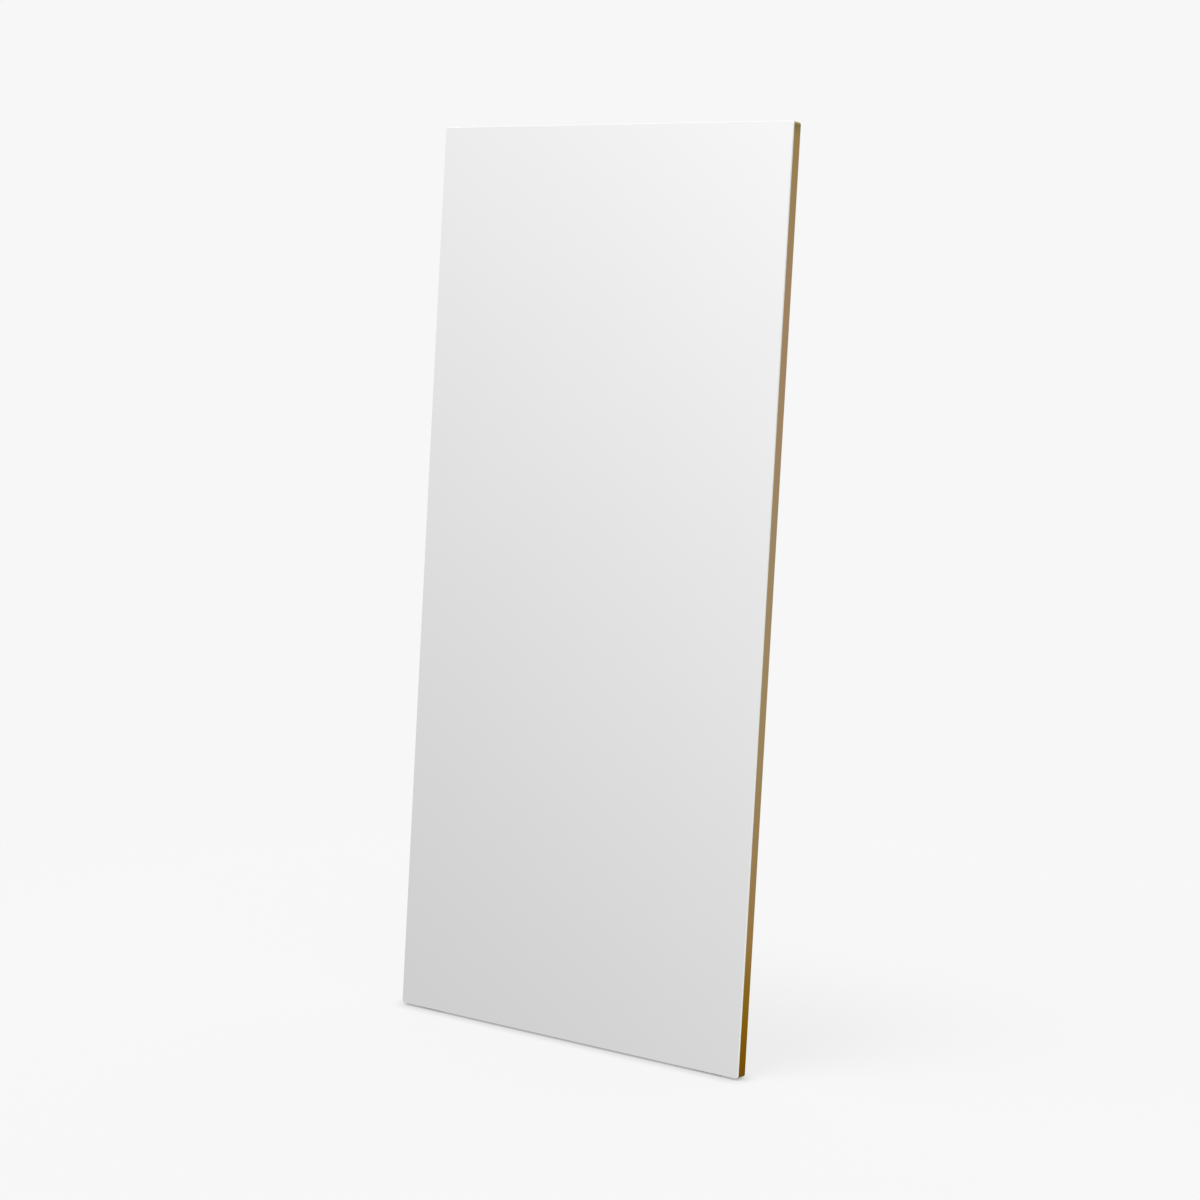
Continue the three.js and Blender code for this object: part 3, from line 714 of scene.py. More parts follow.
def rail_sections(length):
    """A rail's section at each end: the chamber profile, with its outer edge eased to the panel's corner."""
    eased = CORNER_RADIUS * (1 - math.cos(math.pi / 4))
    profile = [
        (eased, RAIL_FRONT), (RAIL_WALL, RAIL_FRONT), (RAIL_WALL, FLANGE_FRONT),
        (CHAMBER_WIDTH, FLANGE_FRONT), (CHAMBER_WIDTH, CHAMBER_BACK), (RAIL_WALL, CHAMBER_BACK),
        (RAIL_WALL, FRAME_BACK), (eased, FRAME_BACK),
    ]
    inner = CHAMBER_WIDTH - RAIL_WEB
    front = FLANGE_FRONT + RAIL_WEB
    back = CHAMBER_BACK - RAIL_WEB
    chamber = [(RAIL_WALL, front), (inner, front), (inner, back), (RAIL_WALL, back)]
    ends = []
    for end in (-1, 1):
        along = [end * (length / 2 - w - MITRE_HAIRLINE) for w, _ in profile + chamber]
        ends.append([(w, n, z) for (w, n), z in zip(profile + chamber, along)])
    return profile, chamber, ends


def corner_steps(length, steps=8):
    """The outer face's edge from end to end: a quarter-corner, the straight, and the other quarter-corner."""
    quarter = [math.pi / 4 * i / steps for i in range(steps, -1, -1)]
    curve = [(CORNER_RADIUS * (1 - math.cos(t)), CORNER_RADIUS * (1 - math.sin(t))) for t in quarter]
    start = [(w, -length / 2 + s) for w, s in curve[1:]]
    return start + [(w, -z) for w, z in reversed(start)]


def rail_mesh(length):
    """A mitred rail along Z, with its outer face on X = 0 and a UV map that runs along it."""
    bm = bmesh.new()
    profile, chamber, ends = rail_sections(length)
    near, far = [[bm.verts.new(p) for p in end] for end in ends]
    count = len(profile)
    for ring in (range(count), range(count, count + len(chamber))):
        for i, j in zip(ring, [*ring[1:], ring[0]]):
            if (i, j) in ((0, 1), (count - 2, count - 1), (count - 1, 0)):
                continue
            bm.faces.new((near[i], near[j], far[j], far[i]))
    route = corner_steps(length)
    lips = {}
    for n, outer, inner in ((RAIL_FRONT, 0, 1), (FRAME_BACK, count - 1, count - 2)):
        middle = [bm.verts.new((w, n, z)) for w, z in route]
        lips[n] = [near[outer], *middle, far[outer]]
        bm.faces.new([*lips[n], far[inner], near[inner]])
    front, back = lips[RAIL_FRONT], lips[FRAME_BACK]
    for i in range(len(front) - 1):
        bm.faces.new((front[i], front[i + 1], back[i + 1], back[i]))
    loops = [[Vector((*p, 0)) for p in profile], [Vector((*p, 0)) for p in chamber]]
    for end in (near, far):
        for triangle in tessellate_polygon(loops):
            bm.faces.new([end[i] for i in triangle])
    bmesh.ops.recalc_face_normals(bm, faces=bm.faces)
    uv = bm.loops.layers.uv.new("rail")
    for face in bm.faces:
        for loop in face.loops:
            place = loop.vert.co
            loop[uv].uv = (place.z, place.x + place.y)
    return bm


def frame_rails():
    """Four mitred rails, each turned from the upright one."""
    low, high = box_in(PANEL, "mirror_glass")
    width = high.x - low.x
    height = high.z - low.z
    rails = {
        "left": (height, 0, (low.x, 0, height / 2)),
        "right": (height, math.pi, (high.x, 0, height / 2)),
        "bottom": (width, -math.pi / 2, (0, 0, low.z)),
        "top": (width, math.pi / 2, (0, 0, high.z)),
    }
    for side, (length, turn, place) in rails.items():
        at = PANEL @ Matrix.Translation(place) @ Matrix.Rotation(turn, 4, "Y")
        rail = object_from(rail_mesh(length), f"rail_{side}", (BRASS,), at)
        soften(rail, 0.35 * MM)
        fit(rail, "panel", "frame", f"frame_rail_{side}")


def screw_tops(kind):
    """The middle of each screw's top, in the panel's frame, with the nodes' names."""
    names = sorted(n for n in frame["nodes"] if n.startswith(kind))
    boxes = [box_in(PANEL, n) for n in names]
    return names, [Vector(((a.x + b.x) / 2, b.y, (a.z + b.z) / 2)) for a, b in boxes]


def screw_holes(kind, face, shank, head=None, deep=7 * MM):
    """Cutters for one kind of screw's holes, down from a face, countersunk where a head radius is given."""
    wide = shank + RUNNING_GAP
    if head is None:
        profile = [(0, -deep), (wide, -deep), (wide, 1 * MM), (0, 1 * MM)]
    else:
        mouth = head + 0.25 * MM
        sink = [(wide, wide - mouth), (mouth, -0.1 * MM), (mouth, 1 * MM)]
        profile = [(0, -deep), (wide, -deep), *sink, (0, 1 * MM)]
    outwards = Matrix.Rotation(-math.pi / 2, 4, "X")
    places = [Matrix.Translation((top.x, face, top.z)) @ outwards for top in screw_tops(kind)[1]]
    return [(turned(profile, 40), place) for place in places]


def backing_board():
    """The board with a countersink for each of its screws, and plain holes for the other screws."""
    low, high = box_in(PANEL, "backing_board")
    outline = rounded_rectangle((low.x, low.z), (high.x, high.z), CORNER_RADIUS - 2 * MM)
    board = object_from(prism(outline, low.y, high.y), "back_board", (BOARD,))
    cutters = [
        *screw_holes("board_screw", high.y, BOARD_SCREW_SHANK, BOARD_SCREW_HEAD),
        *screw_holes("bracket_screw", high.y, BRACKET_SCREW_SHANK),
        *screw_holes("strap_screw", high.y, BOARD_SCREW_SHANK),
    ]
    combine(board, merged(cutters), "DIFFERENCE", (RAW_BOARD,))
    board.data.transform(PANEL)
    soften(board, 0.3 * MM, 2)
    fit(board, "panel", "board", "backing_board")


def strap_plate():
    """A small steel plate, screwed through the board into the top rail, for an anti-tip strap."""
    low, high = box_in(PANEL, "strap_plate")
    outline = rounded_rectangle((low.x, low.z), (high.x, high.z), STRAP_PLATE_CORNER)
    plate = object_from(prism(outline, low.y, high.y), "strap_plate_visual", (ZINC,))
    holes = screw_holes("strap_screw", high.y, BOARD_SCREW_SHANK, STRAP_SCREW_HEAD)
    combine(plate, merged(holes), "DIFFERENCE", (ZINC,))
    plate.data.transform(PANEL)
    soften(plate, 0.25 * MM, 2)
    fit(plate, "panel", "steel", "strap_plate")


# ---- fasteners -------------------------------------------------------------------------------------------


def cross_recess(reach, width, depth):
    """A tapered cross, to cut the driver's recess at the top of a screw."""
    arms = []
    for turn in (0, math.pi / 2):
        bm = bmesh.new()
        low = [(-0.45, -0.5), (0.45, -0.5), (0.45, 0.5), (-0.45, 0.5)]
        bottom = [bm.verts.new((x * reach, y * width * 0.7, -depth)) for x, y in low]
        top = [bm.verts.new((x * reach * 2.2, y * width, 1 * MM)) for x, y in low]
        for i in range(4):
            j = (i + 1) % 4
            bm.faces.new((bottom[i], bottom[j], top[j], top[i]))
        bm.faces.new(bottom)
        bm.faces.new(top)
        bmesh.ops.recalc_face_normals(bm, faces=bm.faces)
        arms.append((bm, Matrix.Rotation(turn, 4, "Z")))
    return arms


def screw_pattern(name, profile, material):
    """One screw about Z with its top at Z = 0, to be placed many times."""
    screw = object_from(turned(profile, 32), name, (material,))
    for bm, turn in cross_recess(1.9 * MM, 0.9 * MM, 1.4 * MM):
        bm.transform(turn)
        combine(screw, bm, "DIFFERENCE", (material,))
    shade(screw, 30)
    return screw


def end_tree(tree, geometry, material, made):
    """Ends a geometry tree: makes its instances real and gives them their material."""
    real = add(tree, "GeometryNodeRealizeInstances", {"Geometry": geometry}).outputs[0]
    dressed = add(tree, "GeometryNodeSetMaterial", {"Geometry": real, "Material": material}).outputs[0]
    tree.links.new(dressed, made["Geometry"])


def random_value(tree, low, high, seed):
    inputs = {2: low, 3: high, "Seed": seed}
    return add(tree, "FunctionNodeRandomValue", inputs, data_type="FLOAT").outputs[1]


def placed_screws_tree():
    """Puts a screw on each point of the mesh, along one direction, each turned its own way."""
    sockets = {
        "Points": "Geometry", "Screw": "Object", "Direction": "Vector", "Depth Spread": ("Float", 0.0),
        "Seed": ("Int", 1), "Material": "Material",
    }
    tree, given, made = new_group("placed_screws", "GeometryNodeTree", sockets, {"Geometry": "Geometry"})
    screw = add(tree, "GeometryNodeObjectInfo", {"Object": given["Screw"]}).outputs["Geometry"]
    aim = {"Vector": given["Direction"]}
    facing = add(tree, "FunctionNodeAlignRotationToVector", aim, axis="Z").outputs[0]
    placing = {"Points": given["Points"], "Instance": screw, "Rotation": facing}
    on_points = add(tree, "GeometryNodeInstanceOnPoints", placing).outputs[0]
    turn = add(tree, "ShaderNodeCombineXYZ", {"Z": random_value(tree, 0.0, 2 * math.pi, given["Seed"])})
    spin = {"Instances": on_points, "Rotation": turn.outputs[0]}
    spun = add(tree, "GeometryNodeRotateInstances", spin).outputs[0]
    depth = times(tree, random_value(tree, -1.0, 0.0, given["Seed"]), given["Depth Spread"])
    drop = add(tree, "ShaderNodeCombineXYZ", {"Z": depth})
    sink = {"Instances": spun, "Translation": drop.outputs[0]}
    driven = add(tree, "GeometryNodeTranslateInstances", sink).outputs[0]
    end_tree(tree, driven, given["Material"], made)
    return tree


def grow(obj, tree, **values):
    """Runs a geometry tree on an object and keeps the plain mesh; an underscore stands for a space."""
    bpy.context.scene.collection.objects.unlink(obj)
    modifier = obj.modifiers.new(tree.name, "NODES")
    modifier.node_group = tree
    for item in tree.interface.items_tree:
        key = item.name.replace(" ", "_")
        if item.in_out == "INPUT" and key in values:
            modifier[item.identifier] = values[key]
    bpy.context.scene.collection.objects.link(obj)
    settle(obj)


def points_object(name, points, edges=()):
    mesh = bpy.data.meshes.new(name)
    mesh.from_pydata([tuple(p) for p in points], [tuple(e) for e in edges], [])
    made = bpy.data.objects.new(name, mesh)
    bpy.context.scene.collection.objects.link(made)
    return made


def flush_screw(head, length):
    """A countersunk screw's profile, its top at 0."""
    shank = BOARD_SCREW_SHANK
    return [
        (0, -length), (shank, -length + 3 * MM), (shank, shank - head),
        (head, -0.25 * MM), (head, -0.1 * MM), (head - 0.2 * MM, 0), (0, 0),
    ]


def pan_screw(head, shank, tall, length):
    """A pan-head screw's profile, its top at 0."""
    rim = 0.5 * MM
    rise = [math.radians(10 * i) for i in range(9)]
    dome = [(head * math.cos(a), -tall + rim + (tall - rim) * math.sin(a)) for a in rise]
    return [
        (0, -length), (shank, -length + 4 * MM), (shank, -tall), (head - 0.15 * MM, -tall), *dome, (0, 0),
    ]


def screws():
    """Each kind of screw: its profile, its finish, how unevenly deep it is driven, and its seed."""
    tree = placed_screws_tree()
    outwards = (PANEL.to_3x3() @ Vector((0, 1, 0)))[:]
    board = flush_screw(BOARD_SCREW_HEAD, BOARD_SCREW_LENGTH)
    strap = flush_screw(STRAP_SCREW_HEAD, STRAP_SCREW_LENGTH)
    bracket = pan_screw(
        BRACKET_SCREW_HEAD, BRACKET_SCREW_SHANK, BRACKET_SCREW_HEAD_HEIGHT, BRACKET_SCREW_LENGTH
    )
    kinds = (
        ("board_screw", board, ZINC, "steel", 0.08 * MM, 4),
        ("strap_screw", strap, ZINC, "steel", 0.05 * MM, 6),
        ("bracket_screw", bracket, BLACK_ZINC, "black_screw", 0.04 * MM, 9),
    )
    for kind, profile, material, slot, spread, seed in kinds:
        names, tops = screw_tops(kind)
        pattern = screw_pattern(kind + "_pattern", profile, material)
        placed = points_object(kind + "s", [PANEL @ top for top in tops])
        grow(
            placed, tree, Screw=pattern, Direction=outwards, Depth_Spread=spread, Seed=seed,
            Material=material,
        )
        bpy.data.objects.remove(pattern)
        shade(placed, 30)
        fit(placed, "panel", slot, *names)


def bolt_profile(half, head):
    """A button head over a shank with a thread at its tip, from one end to the other."""
    tall, rim, pitch = BOLT_HEAD_HEIGHT, 0.6 * MM, 0.5 * MM
    rise = [math.radians(15 * i) for i in range(6)]
    dome = [(head * math.cos(a) ** 0.7, half - tall + rim + (tall - rim) * math.sin(a)) for a in rise]
    thread = []
    for i in range(14):
        thread.append((BOLT_RADIUS - (0.3 * MM if i % 2 else 0), -half + 0.8 * MM + i * pitch))
    return [
        (0, -half), (BOLT_RADIUS - 0.6 * MM, -half), *thread, (BOLT_RADIUS, -half + 8.5 * MM),
        (BOLT_RADIUS, half - tall), (head - 0.2 * MM, half - tall), *dome, (1.5 * MM, half), (0, half),
    ]


def pivot_bolt(side, sign):
    """A button-head bolt with a hexagonal socket, its head outwards."""
    low, high = box_in(PANEL, f"pivot_bolt_{side}")
    half = (high.x - low.x) / 2
    lie = Matrix.Translation((low + high) / 2) @ Matrix.Rotation(sign * math.pi / 2, 4, "Y")
    bolt = object_from(turned(bolt_profile(half, (high.z - low.z) / 2)), f"bolt_{side}", (ZINC,))
    hexagon = circle(0, 0, BOLT_SOCKET_RADIUS, 6)
    socket = prism(hexagon, half - 2 * MM, half + 1 * MM, lay=lambda a, b, depth: (a, b, depth))
    combine(bolt, socket, "DIFFERENCE", (ZINC,))
    bolt.data.transform(PANEL @ lie)
    shade(bolt, 30)
    fit(bolt, "panel", "steel", f"pivot_bolt_{side}")


def pivot_nut(side, sign):
    """A nut with a nylon collar at its outer end."""
    low, high = box_in(PANEL, f"pivot_nut_{side}")
    half = NUT_HEIGHT / 2
    hexagon = [(-z, y) for y, z in circle(0, 0, (high.z - low.z) / 2, 6)]
    bore = circle(0, 0, BOLT_RADIUS + 0.1 * MM)
    nut = object_from(prism(hexagon, -half, half, [bore], along_x), f"nut_{side}", (ZINC, NYLON))
    end = -sign * half
    outside = circle(0, 0, NUT_COLLAR_RADIUS)
    inside = circle(0, 0, BOLT_RADIUS + 0.05 * MM)
    collar = prism(outside, end - sign * 0.35 * MM, end + sign * 0.6 * MM, [inside], along_x)
    combine(nut, collar, "UNION", (NYLON,))
    nut.data.transform(PANEL @ Matrix.Translation((low + high) / 2))
    soften(nut, 0.25 * MM, 2)
    fit(nut, "panel", "steel", f"pivot_nut_{side}")


def pivot_fasteners():
    for side, sign in SIDES.items():
        pivot_bolt(side, sign)
        pivot_nut(side, sign)


# ---- hinge brackets --------------------------------------------------------------------------------------


def bracket_ear(reach):
    """An ear's outline in Y and Z about the pivot: a foot on the base plate and a round nose."""
    foot = 1.6 * EAR_RADIUS
    nose = [math.radians(-90 + 180 * i / 20) for i in range(21)]
    tip = [(EAR_RADIUS * math.cos(a), EAR_RADIUS * math.sin(a)) for a in nose]
    return [(-reach - 1 * MM, -foot), (-reach, -foot), *tip, (-reach, foot), (-reach - 1 * MM, foot)]


def hinge_brackets():
    """A base plate with two ears each, which straddle the stand's leg."""
    for side in SIDES:
        low, high = box_in(PANEL, f"hinge_bracket_{side}")
        bolt_low, bolt_high = box_in(PANEL, f"pivot_bolt_{side}")
        pivot = (bolt_low + bolt_high) / 2
        middle = (low.x + high.x) / 2
        reach = pivot.y - low.y - BRACKET_THICKNESS
        holes = []
        for top in screw_tops("bracket_screw")[1]:
            if abs(top.x - middle) < high.x - middle:
                holes.append(circle(top.x, top.z, BRACKET_SCREW_SHANK + RUNNING_GAP))
        outline = rounded_rectangle((low.x, low.z), (high.x, high.z), BRACKET_CORNER)
        plate = prism(outline, low.y, low.y + BRACKET_THICKNESS, holes)
        bracket = object_from(plate, f"bracket_{side}", (POWDER,))
        inside = TUBE_RADIUS + 0.6 * MM
        for near, far in ((-inside - EAR_THICKNESS, -inside), (inside, inside + EAR_THICKNESS)):
            bolt_hole = circle(0, 0, BOLT_RADIUS + RUNNING_GAP)
            ear = prism(bracket_ear(reach), near, far, [bolt_hole], along_x)
            ear.transform(Matrix.Translation((middle, pivot.y, pivot.z)))
            combine(bracket, ear, "UNION", (POWDER,))
        bracket.data.transform(PANEL)
        soften(bracket, 0.35 * MM)
        fit(bracket, "panel", "black_steel", f"hinge_bracket_{side}")


# ---- the stand -------------------------------------------------------------------------------------------


def bent_tube_tree():
    """A hollow tube along a polyline with rounded bends, drilled across for the pivot bolts."""
    sockets = {
        "Route": "Geometry", "Bend Radius": ("Float", 0.05), "Bend Steps": ("Int", 16),
        "Tube Radius": ("Float", 0.007), "Bore Radius": ("Float", 0.006),
        "Pivot Hole Radius": ("Float", 0.003), "Material": "Material",
    }
    tree, given, made = new_group("bent_tube", "GeometryNodeTree", sockets, {"Geometry": "Geometry"})
    route = add(tree, "GeometryNodeMeshToCurve", {"Mesh": given["Route"]}).outputs[0]
    bends = {"Curve": route, "Radius": given["Bend Radius"], "Count": given["Bend Steps"]}
    line = add(tree, "GeometryNodeFilletCurve", bends, mode="POLY").outputs[0]
    ends = add(tree, "GeometryNodeCurveEndpointSelection").outputs[0]
    longer = {"Geometry": line, "Selection": ends, "Offset": (0, 0, 1 * MM)}
    bore_line = add(tree, "GeometryNodeSetPosition", longer).outputs[0]
    walls = []
    for path, radius in ((line, "Tube Radius"), (bore_line, "Bore Radius")):
        ring = add(tree, "GeometryNodeCurvePrimitiveCircle", {"Resolution": 40, "Radius": given[radius]})
        sweep = {"Curve": path, "Profile Curve": ring.outputs[0], "Fill Caps": True}
        walls.append(add(tree, "GeometryNodeCurveToMesh", sweep).outputs[0])
    rod = {"Vertices": 32, "Radius": given["Pivot Hole Radius"], "Depth": 0.6}
    drill = add(tree, "GeometryNodeMeshCylinder", rod).outputs[0]
    quarter_turn = {"Geometry": drill, "Rotation": (0, math.pi / 2, 0)}
    across = add(tree, "GeometryNodeTransform", quarter_turn).outputs[0]
    cut = add(tree, "GeometryNodeMeshBoolean", {"Mesh 1": walls[0]}, operation="DIFFERENCE", solver="EXACT")
    tree.links.new(walls[1], cut.inputs["Mesh 2"])
    tree.links.new(across, cut.inputs["Mesh 2"])
    end_tree(tree, cut.outputs[0], given["Material"], made)
    return tree


def stand_tube():
    """One bent tube: two legs, joined at the floor by a crossbar."""
    low, high = box_in(STAND, "stand_tube")
    half = high.x - TUBE_RADIUS
    foot = low.z + TUBE_RADIUS
    corners = [(-half, 0, high.z), (-half, 0, foot), (half, 0, foot), (half, 0, high.z)]
    tube = points_object("stand_frame", corners, ((0, 1), (1, 2), (2, 3)))
    grow(
        tube, bent_tube_tree(), Bend_Radius=BEND_RADIUS, Bend_Steps=BEND_STEPS, Tube_Radius=TUBE_RADIUS,
        Bore_Radius=TUBE_BORE, Pivot_Hole_Radius=BOLT_RADIUS + RUNNING_GAP, Material=TUBE_BRASS,
    )
    tube.data.transform(STAND)
    shade(tube, 30)
    fit(tube, "stand", "stand", "stand_tube")


def tube_plugs():
    """Rubber plugs with a rounded cap, in the legs' upper ends."""
    for side in SIDES:
        low, high = box_in(STAND, f"tube_plug_{side}")
        stem = TUBE_BORE - 0.15 * MM
        seat = high.z - PLUG_CAP + 0.1 * MM
        edge = 0.7 * MM
        crown = arc(TUBE_RADIUS - edge, high.z - edge, edge, 0, 90, 6)
        profile = [
            (0, low.z), (stem - 0.5 * MM, low.z), (stem, low.z + 1 * MM), (stem, seat),
            (TUBE_RADIUS - 0.2 * MM, seat), (TUBE_RADIUS, seat + 0.2 * MM), *crown, (0, high.z),
        ]
        at = STAND @ Matrix.Translation(((low.x + high.x) / 2, 0, 0))
        plug = object_from(turned(profile), f"plug_{side}", (RUBBER,), at)
        shade(plug, 40)
        fit(plug, "stand", "rubber", f"tube_plug_{side}")


def ribs_tree():
    """Repeats a round rib, swept along the given line, at even steps along X."""
    sockets = {
        "Line": "Geometry", "Rib Radius": ("Float", 0.001), "Count": ("Int", 5), "Spacing": ("Float", 0.005),
        "Material": "Material",
    }
    tree, given, made = new_group("ribs", "GeometryNodeTree", sockets, {"Geometry": "Geometry"})
    line = add(tree, "GeometryNodeMeshToCurve", {"Mesh": given["Line"]}).outputs[0]
    ring = add(tree, "GeometryNodeCurvePrimitiveCircle", {"Resolution": 12, "Radius": given["Rib Radius"]})
    sweep = {"Curve": line, "Profile Curve": ring.outputs[0], "Fill Caps": True}
    rib = add(tree, "GeometryNodeCurveToMesh", sweep).outputs[0]
    half = times(tree, maths(tree, "SUBTRACT", given["Count"], 1.0), 0.5)
    start = times(tree, times(tree, half, given["Spacing"]), -1.0)
    first = add(tree, "ShaderNodeCombineXYZ", {"X": start}).outputs[0]
    step = add(tree, "ShaderNodeCombineXYZ", {"X": given["Spacing"]}).outputs[0]
    row = {"Count": given["Count"], "Start Location": first, "Offset": step}
    places = add(tree, "GeometryNodeMeshLine", row).outputs[0]
    copies = add(tree, "GeometryNodeInstanceOnPoints", {"Points": places, "Instance": rib}).outputs[0]
    end_tree(tree, copies, given["Material"], made)
    return tree


def soled_circle(radius, drop, sides=48):
    """A circle in Y and Z whose bottom is cut flat at `drop` under its middle."""
    return [(y, max(z, -drop)) for y, z in circle(0, 0, radius, sides)]


def absorb(obj, other):
    """Adds another object's mesh to a piece, and drops the other object."""
    bm = bmesh.new()
    bm.from_mesh(obj.data)
    bm.from_mesh(other.data)
    bm.to_mesh(obj.data)
    bm.free()
    bpy.data.objects.remove(other)


def rubber_sleeves(ribs):
    """Sleeves round the crossbar, ribbed for grip, with a flat sole."""
    rib = SLEEVE_RIB
    for side in SIDES:
        low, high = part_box(f"foot_sleeve_{side}")
        centre = Vector(((low.x + high.x) / 2, (low.y + high.y) / 2, low.z + SOLE_DROP))
        length = high.x - low.x
        skin = soled_circle(SLEEVE_RADIUS - rib, SOLE_DROP - 0.6 * rib)
        bore = circle(0, 0, TUBE_RADIUS + 0.05 * MM, 40)
        body = prism(skin, -length / 2, length / 2, [bore], along_x)
        sleeve = object_from(body, f"sleeve_{side}", (RUBBER,))
        soften(sleeve, 0.5 * MM)
        settle(sleeve)
        hoop = [(0, y, z) for y, z in soled_circle(SLEEVE_RADIUS - rib, SOLE_DROP - rib)]
        edges = [(i, (i + 1) % len(hoop)) for i in range(len(hoop))]
        grips = points_object("grips", hoop, edges)
        grow(
            grips, ribs, Rib_Radius=rib, Count=SLEEVE_RIB_COUNT, Spacing=SLEEVE_RIB_SPACING,
            Material=RUBBER,
        )
        absorb(sleeve, grips)
        sleeve.data.transform(Matrix.Translation(centre))
        shade(sleeve, 40)
        fit(sleeve, "stand", "rubber", f"foot_sleeve_{side}")


# ---- feet and bumpers on the panel -----------------------------------------------------------------------


def wedge_pads(ribs):
    """Rubber wedges under the panel, with grip ribs across a level sole."""
    rib = PAD_RIB
    for side in SIDES:
        low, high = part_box(f"foot_pad_{side}")
        panel_low, panel_high = box_in(PANEL, f"foot_pad_{side}")
        middle = (low.x + high.x) / 2
        length = high.x - low.x
        back = PANEL.inverted()
        corners = [(low.y, low.z + rib), (high.y, low.z + rib)]
        flat = [back @ Vector((0, y, z)) for y, z in corners]
        section = [(p.y, p.z) for p in flat] + [(panel_high.y, panel_high.z), (panel_low.y, panel_high.z)]
        section = [(max(min(y, panel_high.y), panel_low.y), z) for y, z in section]
        body = prism(section, middle - length / 2, middle + length / 2, lay=along_x)
        pad = object_from(body, f"pad_{side}", (PAD_RUBBER,), PANEL)
        soften(pad, 0.25 * MM, 2)
        settle(pad)
        inset = 1.5 * MM
        line = [(0, low.y + inset, low.z + rib), (0, high.y - inset, low.z + rib)]
        grips = points_object("pad_grips", line, ((0, 1),))
        grow(
            grips, ribs, Rib_Radius=rib, Count=PAD_RIB_COUNT, Spacing=PAD_RIB_SPACING,
            Material=PAD_RUBBER,
        )
        grips.data.transform(Matrix.Translation((middle, 0, 0)))
        absorb(pad, grips)
        shade(pad, 40)
        fit(pad, "panel", "pale_rubber", f"foot_pad_{side}")


def bumpers():
    """Domed rubber buttons that keep the top of the panel off a wall."""
    for side in SIDES:
        low, high = box_in(PANEL, f"wall_bumper_{side}")
        radius = (high.x - low.x) / 2
        tall = high.y - low.y
        rise = [math.radians(9 + 9 * i) for i in range(9)]
        dome = [(radius * 0.94 * math.cos(a), tall * 0.3 + tall * 0.7 * math.sin(a)) for a in rise]
        profile = [
            (0, 0), (radius - 0.3 * MM, 0), (radius, 0.3 * MM), (radius, tall * 0.22),
            (radius - 0.3 * MM, tall * 0.3), *dome, (0, tall),
        ]
        centre = Vector(((low.x + high.x) / 2, low.y, (low.z + high.z) / 2))
        at = PANEL @ Matrix.Translation(centre) @ Matrix.Rotation(-math.pi / 2, 4, "X")
        bumper = object_from(turned(profile), f"bumper_{side}", (RUBBER,), at)
        shade(bumper, 40)
        fit(bumper, "panel", "rubber", f"wall_bumper_{side}")


def dress_hidden_nodes():
    """The pieces inside the panel keep their CAD shape and get their finish."""
    for name, node in frame["nodes"].items():
        for prefix, material in HIDDEN.items():
            if name.startswith(prefix):
                node.data.materials.clear()
                node.data.materials.append(material)


# ---- studio ----------------------------------------------------------------------------------------------

PAPER_WHITE = 0.93
FLOOR_RADIUS = 2.6
FLOOR_GLOW = 0.784
FLOOR_GREY = 0.08
# How far the floor's painted contact shade reaches, and how far its glow is dimmed at the darkest
PAINTED_SHADE_REACH = 0.03
PAINTED_SHADE_LEVEL = 0.45


def studio_floor():
    """A pale disc that glows like paper, takes a faint shadow, and fades out at its rim. Its glow is
    darkened by a painted contact shade wherever the object comes within a few centimetres of it.

    Reflections leave it out, so the glass shows the world's paper where a real one would show the floor.
    """
    disc = bmesh.new()
    bmesh.ops.create_circle(disc, cap_ends=True, segments=96, radius=FLOOR_RADIUS)
    material = bpy.data.materials.new("pale_floor")
    material.use_nodes = True
    tree = material.node_tree
    tree.nodes.clear()
    # Painted contact shade: the glow darkens where the object stands close to the floor
    painted_contact_shade = add(tree, "ShaderNodeAmbientOcclusion", {"Distance": PAINTED_SHADE_REACH}, samples=16).outputs["AO"]
    glow = times(tree, remap(tree, painted_contact_shade, 0.0, 1.0, PAINTED_SHADE_LEVEL, 1.0, "LINEAR"), FLOOR_GLOW)
    paper = add(tree, "ShaderNodeEmission", {"Color": (1, 1, 1, 1), "Strength": glow}).outputs[0]
    matt = add(tree, "ShaderNodeBsdfDiffuse", {"Color": (FLOOR_GREY, FLOOR_GREY, FLOOR_GREY, 1)}).outputs[0]
    lit = add(tree, "ShaderNodeAddShader", {0: paper, 1: matt}).outputs[0]
    place = add(tree, "ShaderNodeTexCoord").outputs["Object"]
    reach = add(tree, "ShaderNodeVectorMath", {0: place}, operation="LENGTH").outputs["Value"]
    rim = remap(tree, reach, FLOOR_RADIUS * 0.5, FLOOR_RADIUS * 0.98)
    clear = add(tree, "ShaderNodeBsdfTransparent").outputs[0]
    shown = add(tree, "ShaderNodeMixShader", {0: rim, 1: lit, 2: clear}).outputs[0]
    add(tree, "ShaderNodeOutputMaterial", {"Surface": shown})
    floor = object_from(disc, "floor", (material,), Matrix.Translation((0, 0, cad_box[0].z)))
    floor.visible_glossy = False


# Paper to the front left: along a slant, its level rises smoothly from middle - spread to middle + spread.
# The slant and its offset are fitted values.
SLANT = (0.948, 0, 0.945)
SLANT_OFFSET = 1.457
SLANT_MIDDLE = 0.90
SLANT_SPREAD = 0.42

# Paper straight ahead and to the right: nearly even, a little lighter upwards and to the right
EVEN_LEVEL = 0.88
EVEN_LIFT = 0.12
EVEN_LIFT_RATE = 4.0
EVEN_DRIFT = 0.08

# Soft lights in the room round the object: the way to each, how sharply it falls off, and its strength
ROOM_LEVEL = 0.50
ROOM_LIFT = 0.2
ROOM_LIGHTS = (
    ((0.80, -0.50, 0.30), 14, 1.0),
    ((0.00, -0.10, 1.00), 3, 0.8),
    ((-0.80, 0.60, 0.25), 9, 1.0),
    ((0.15, 0.90, 0.40), 16, 0.9),
)


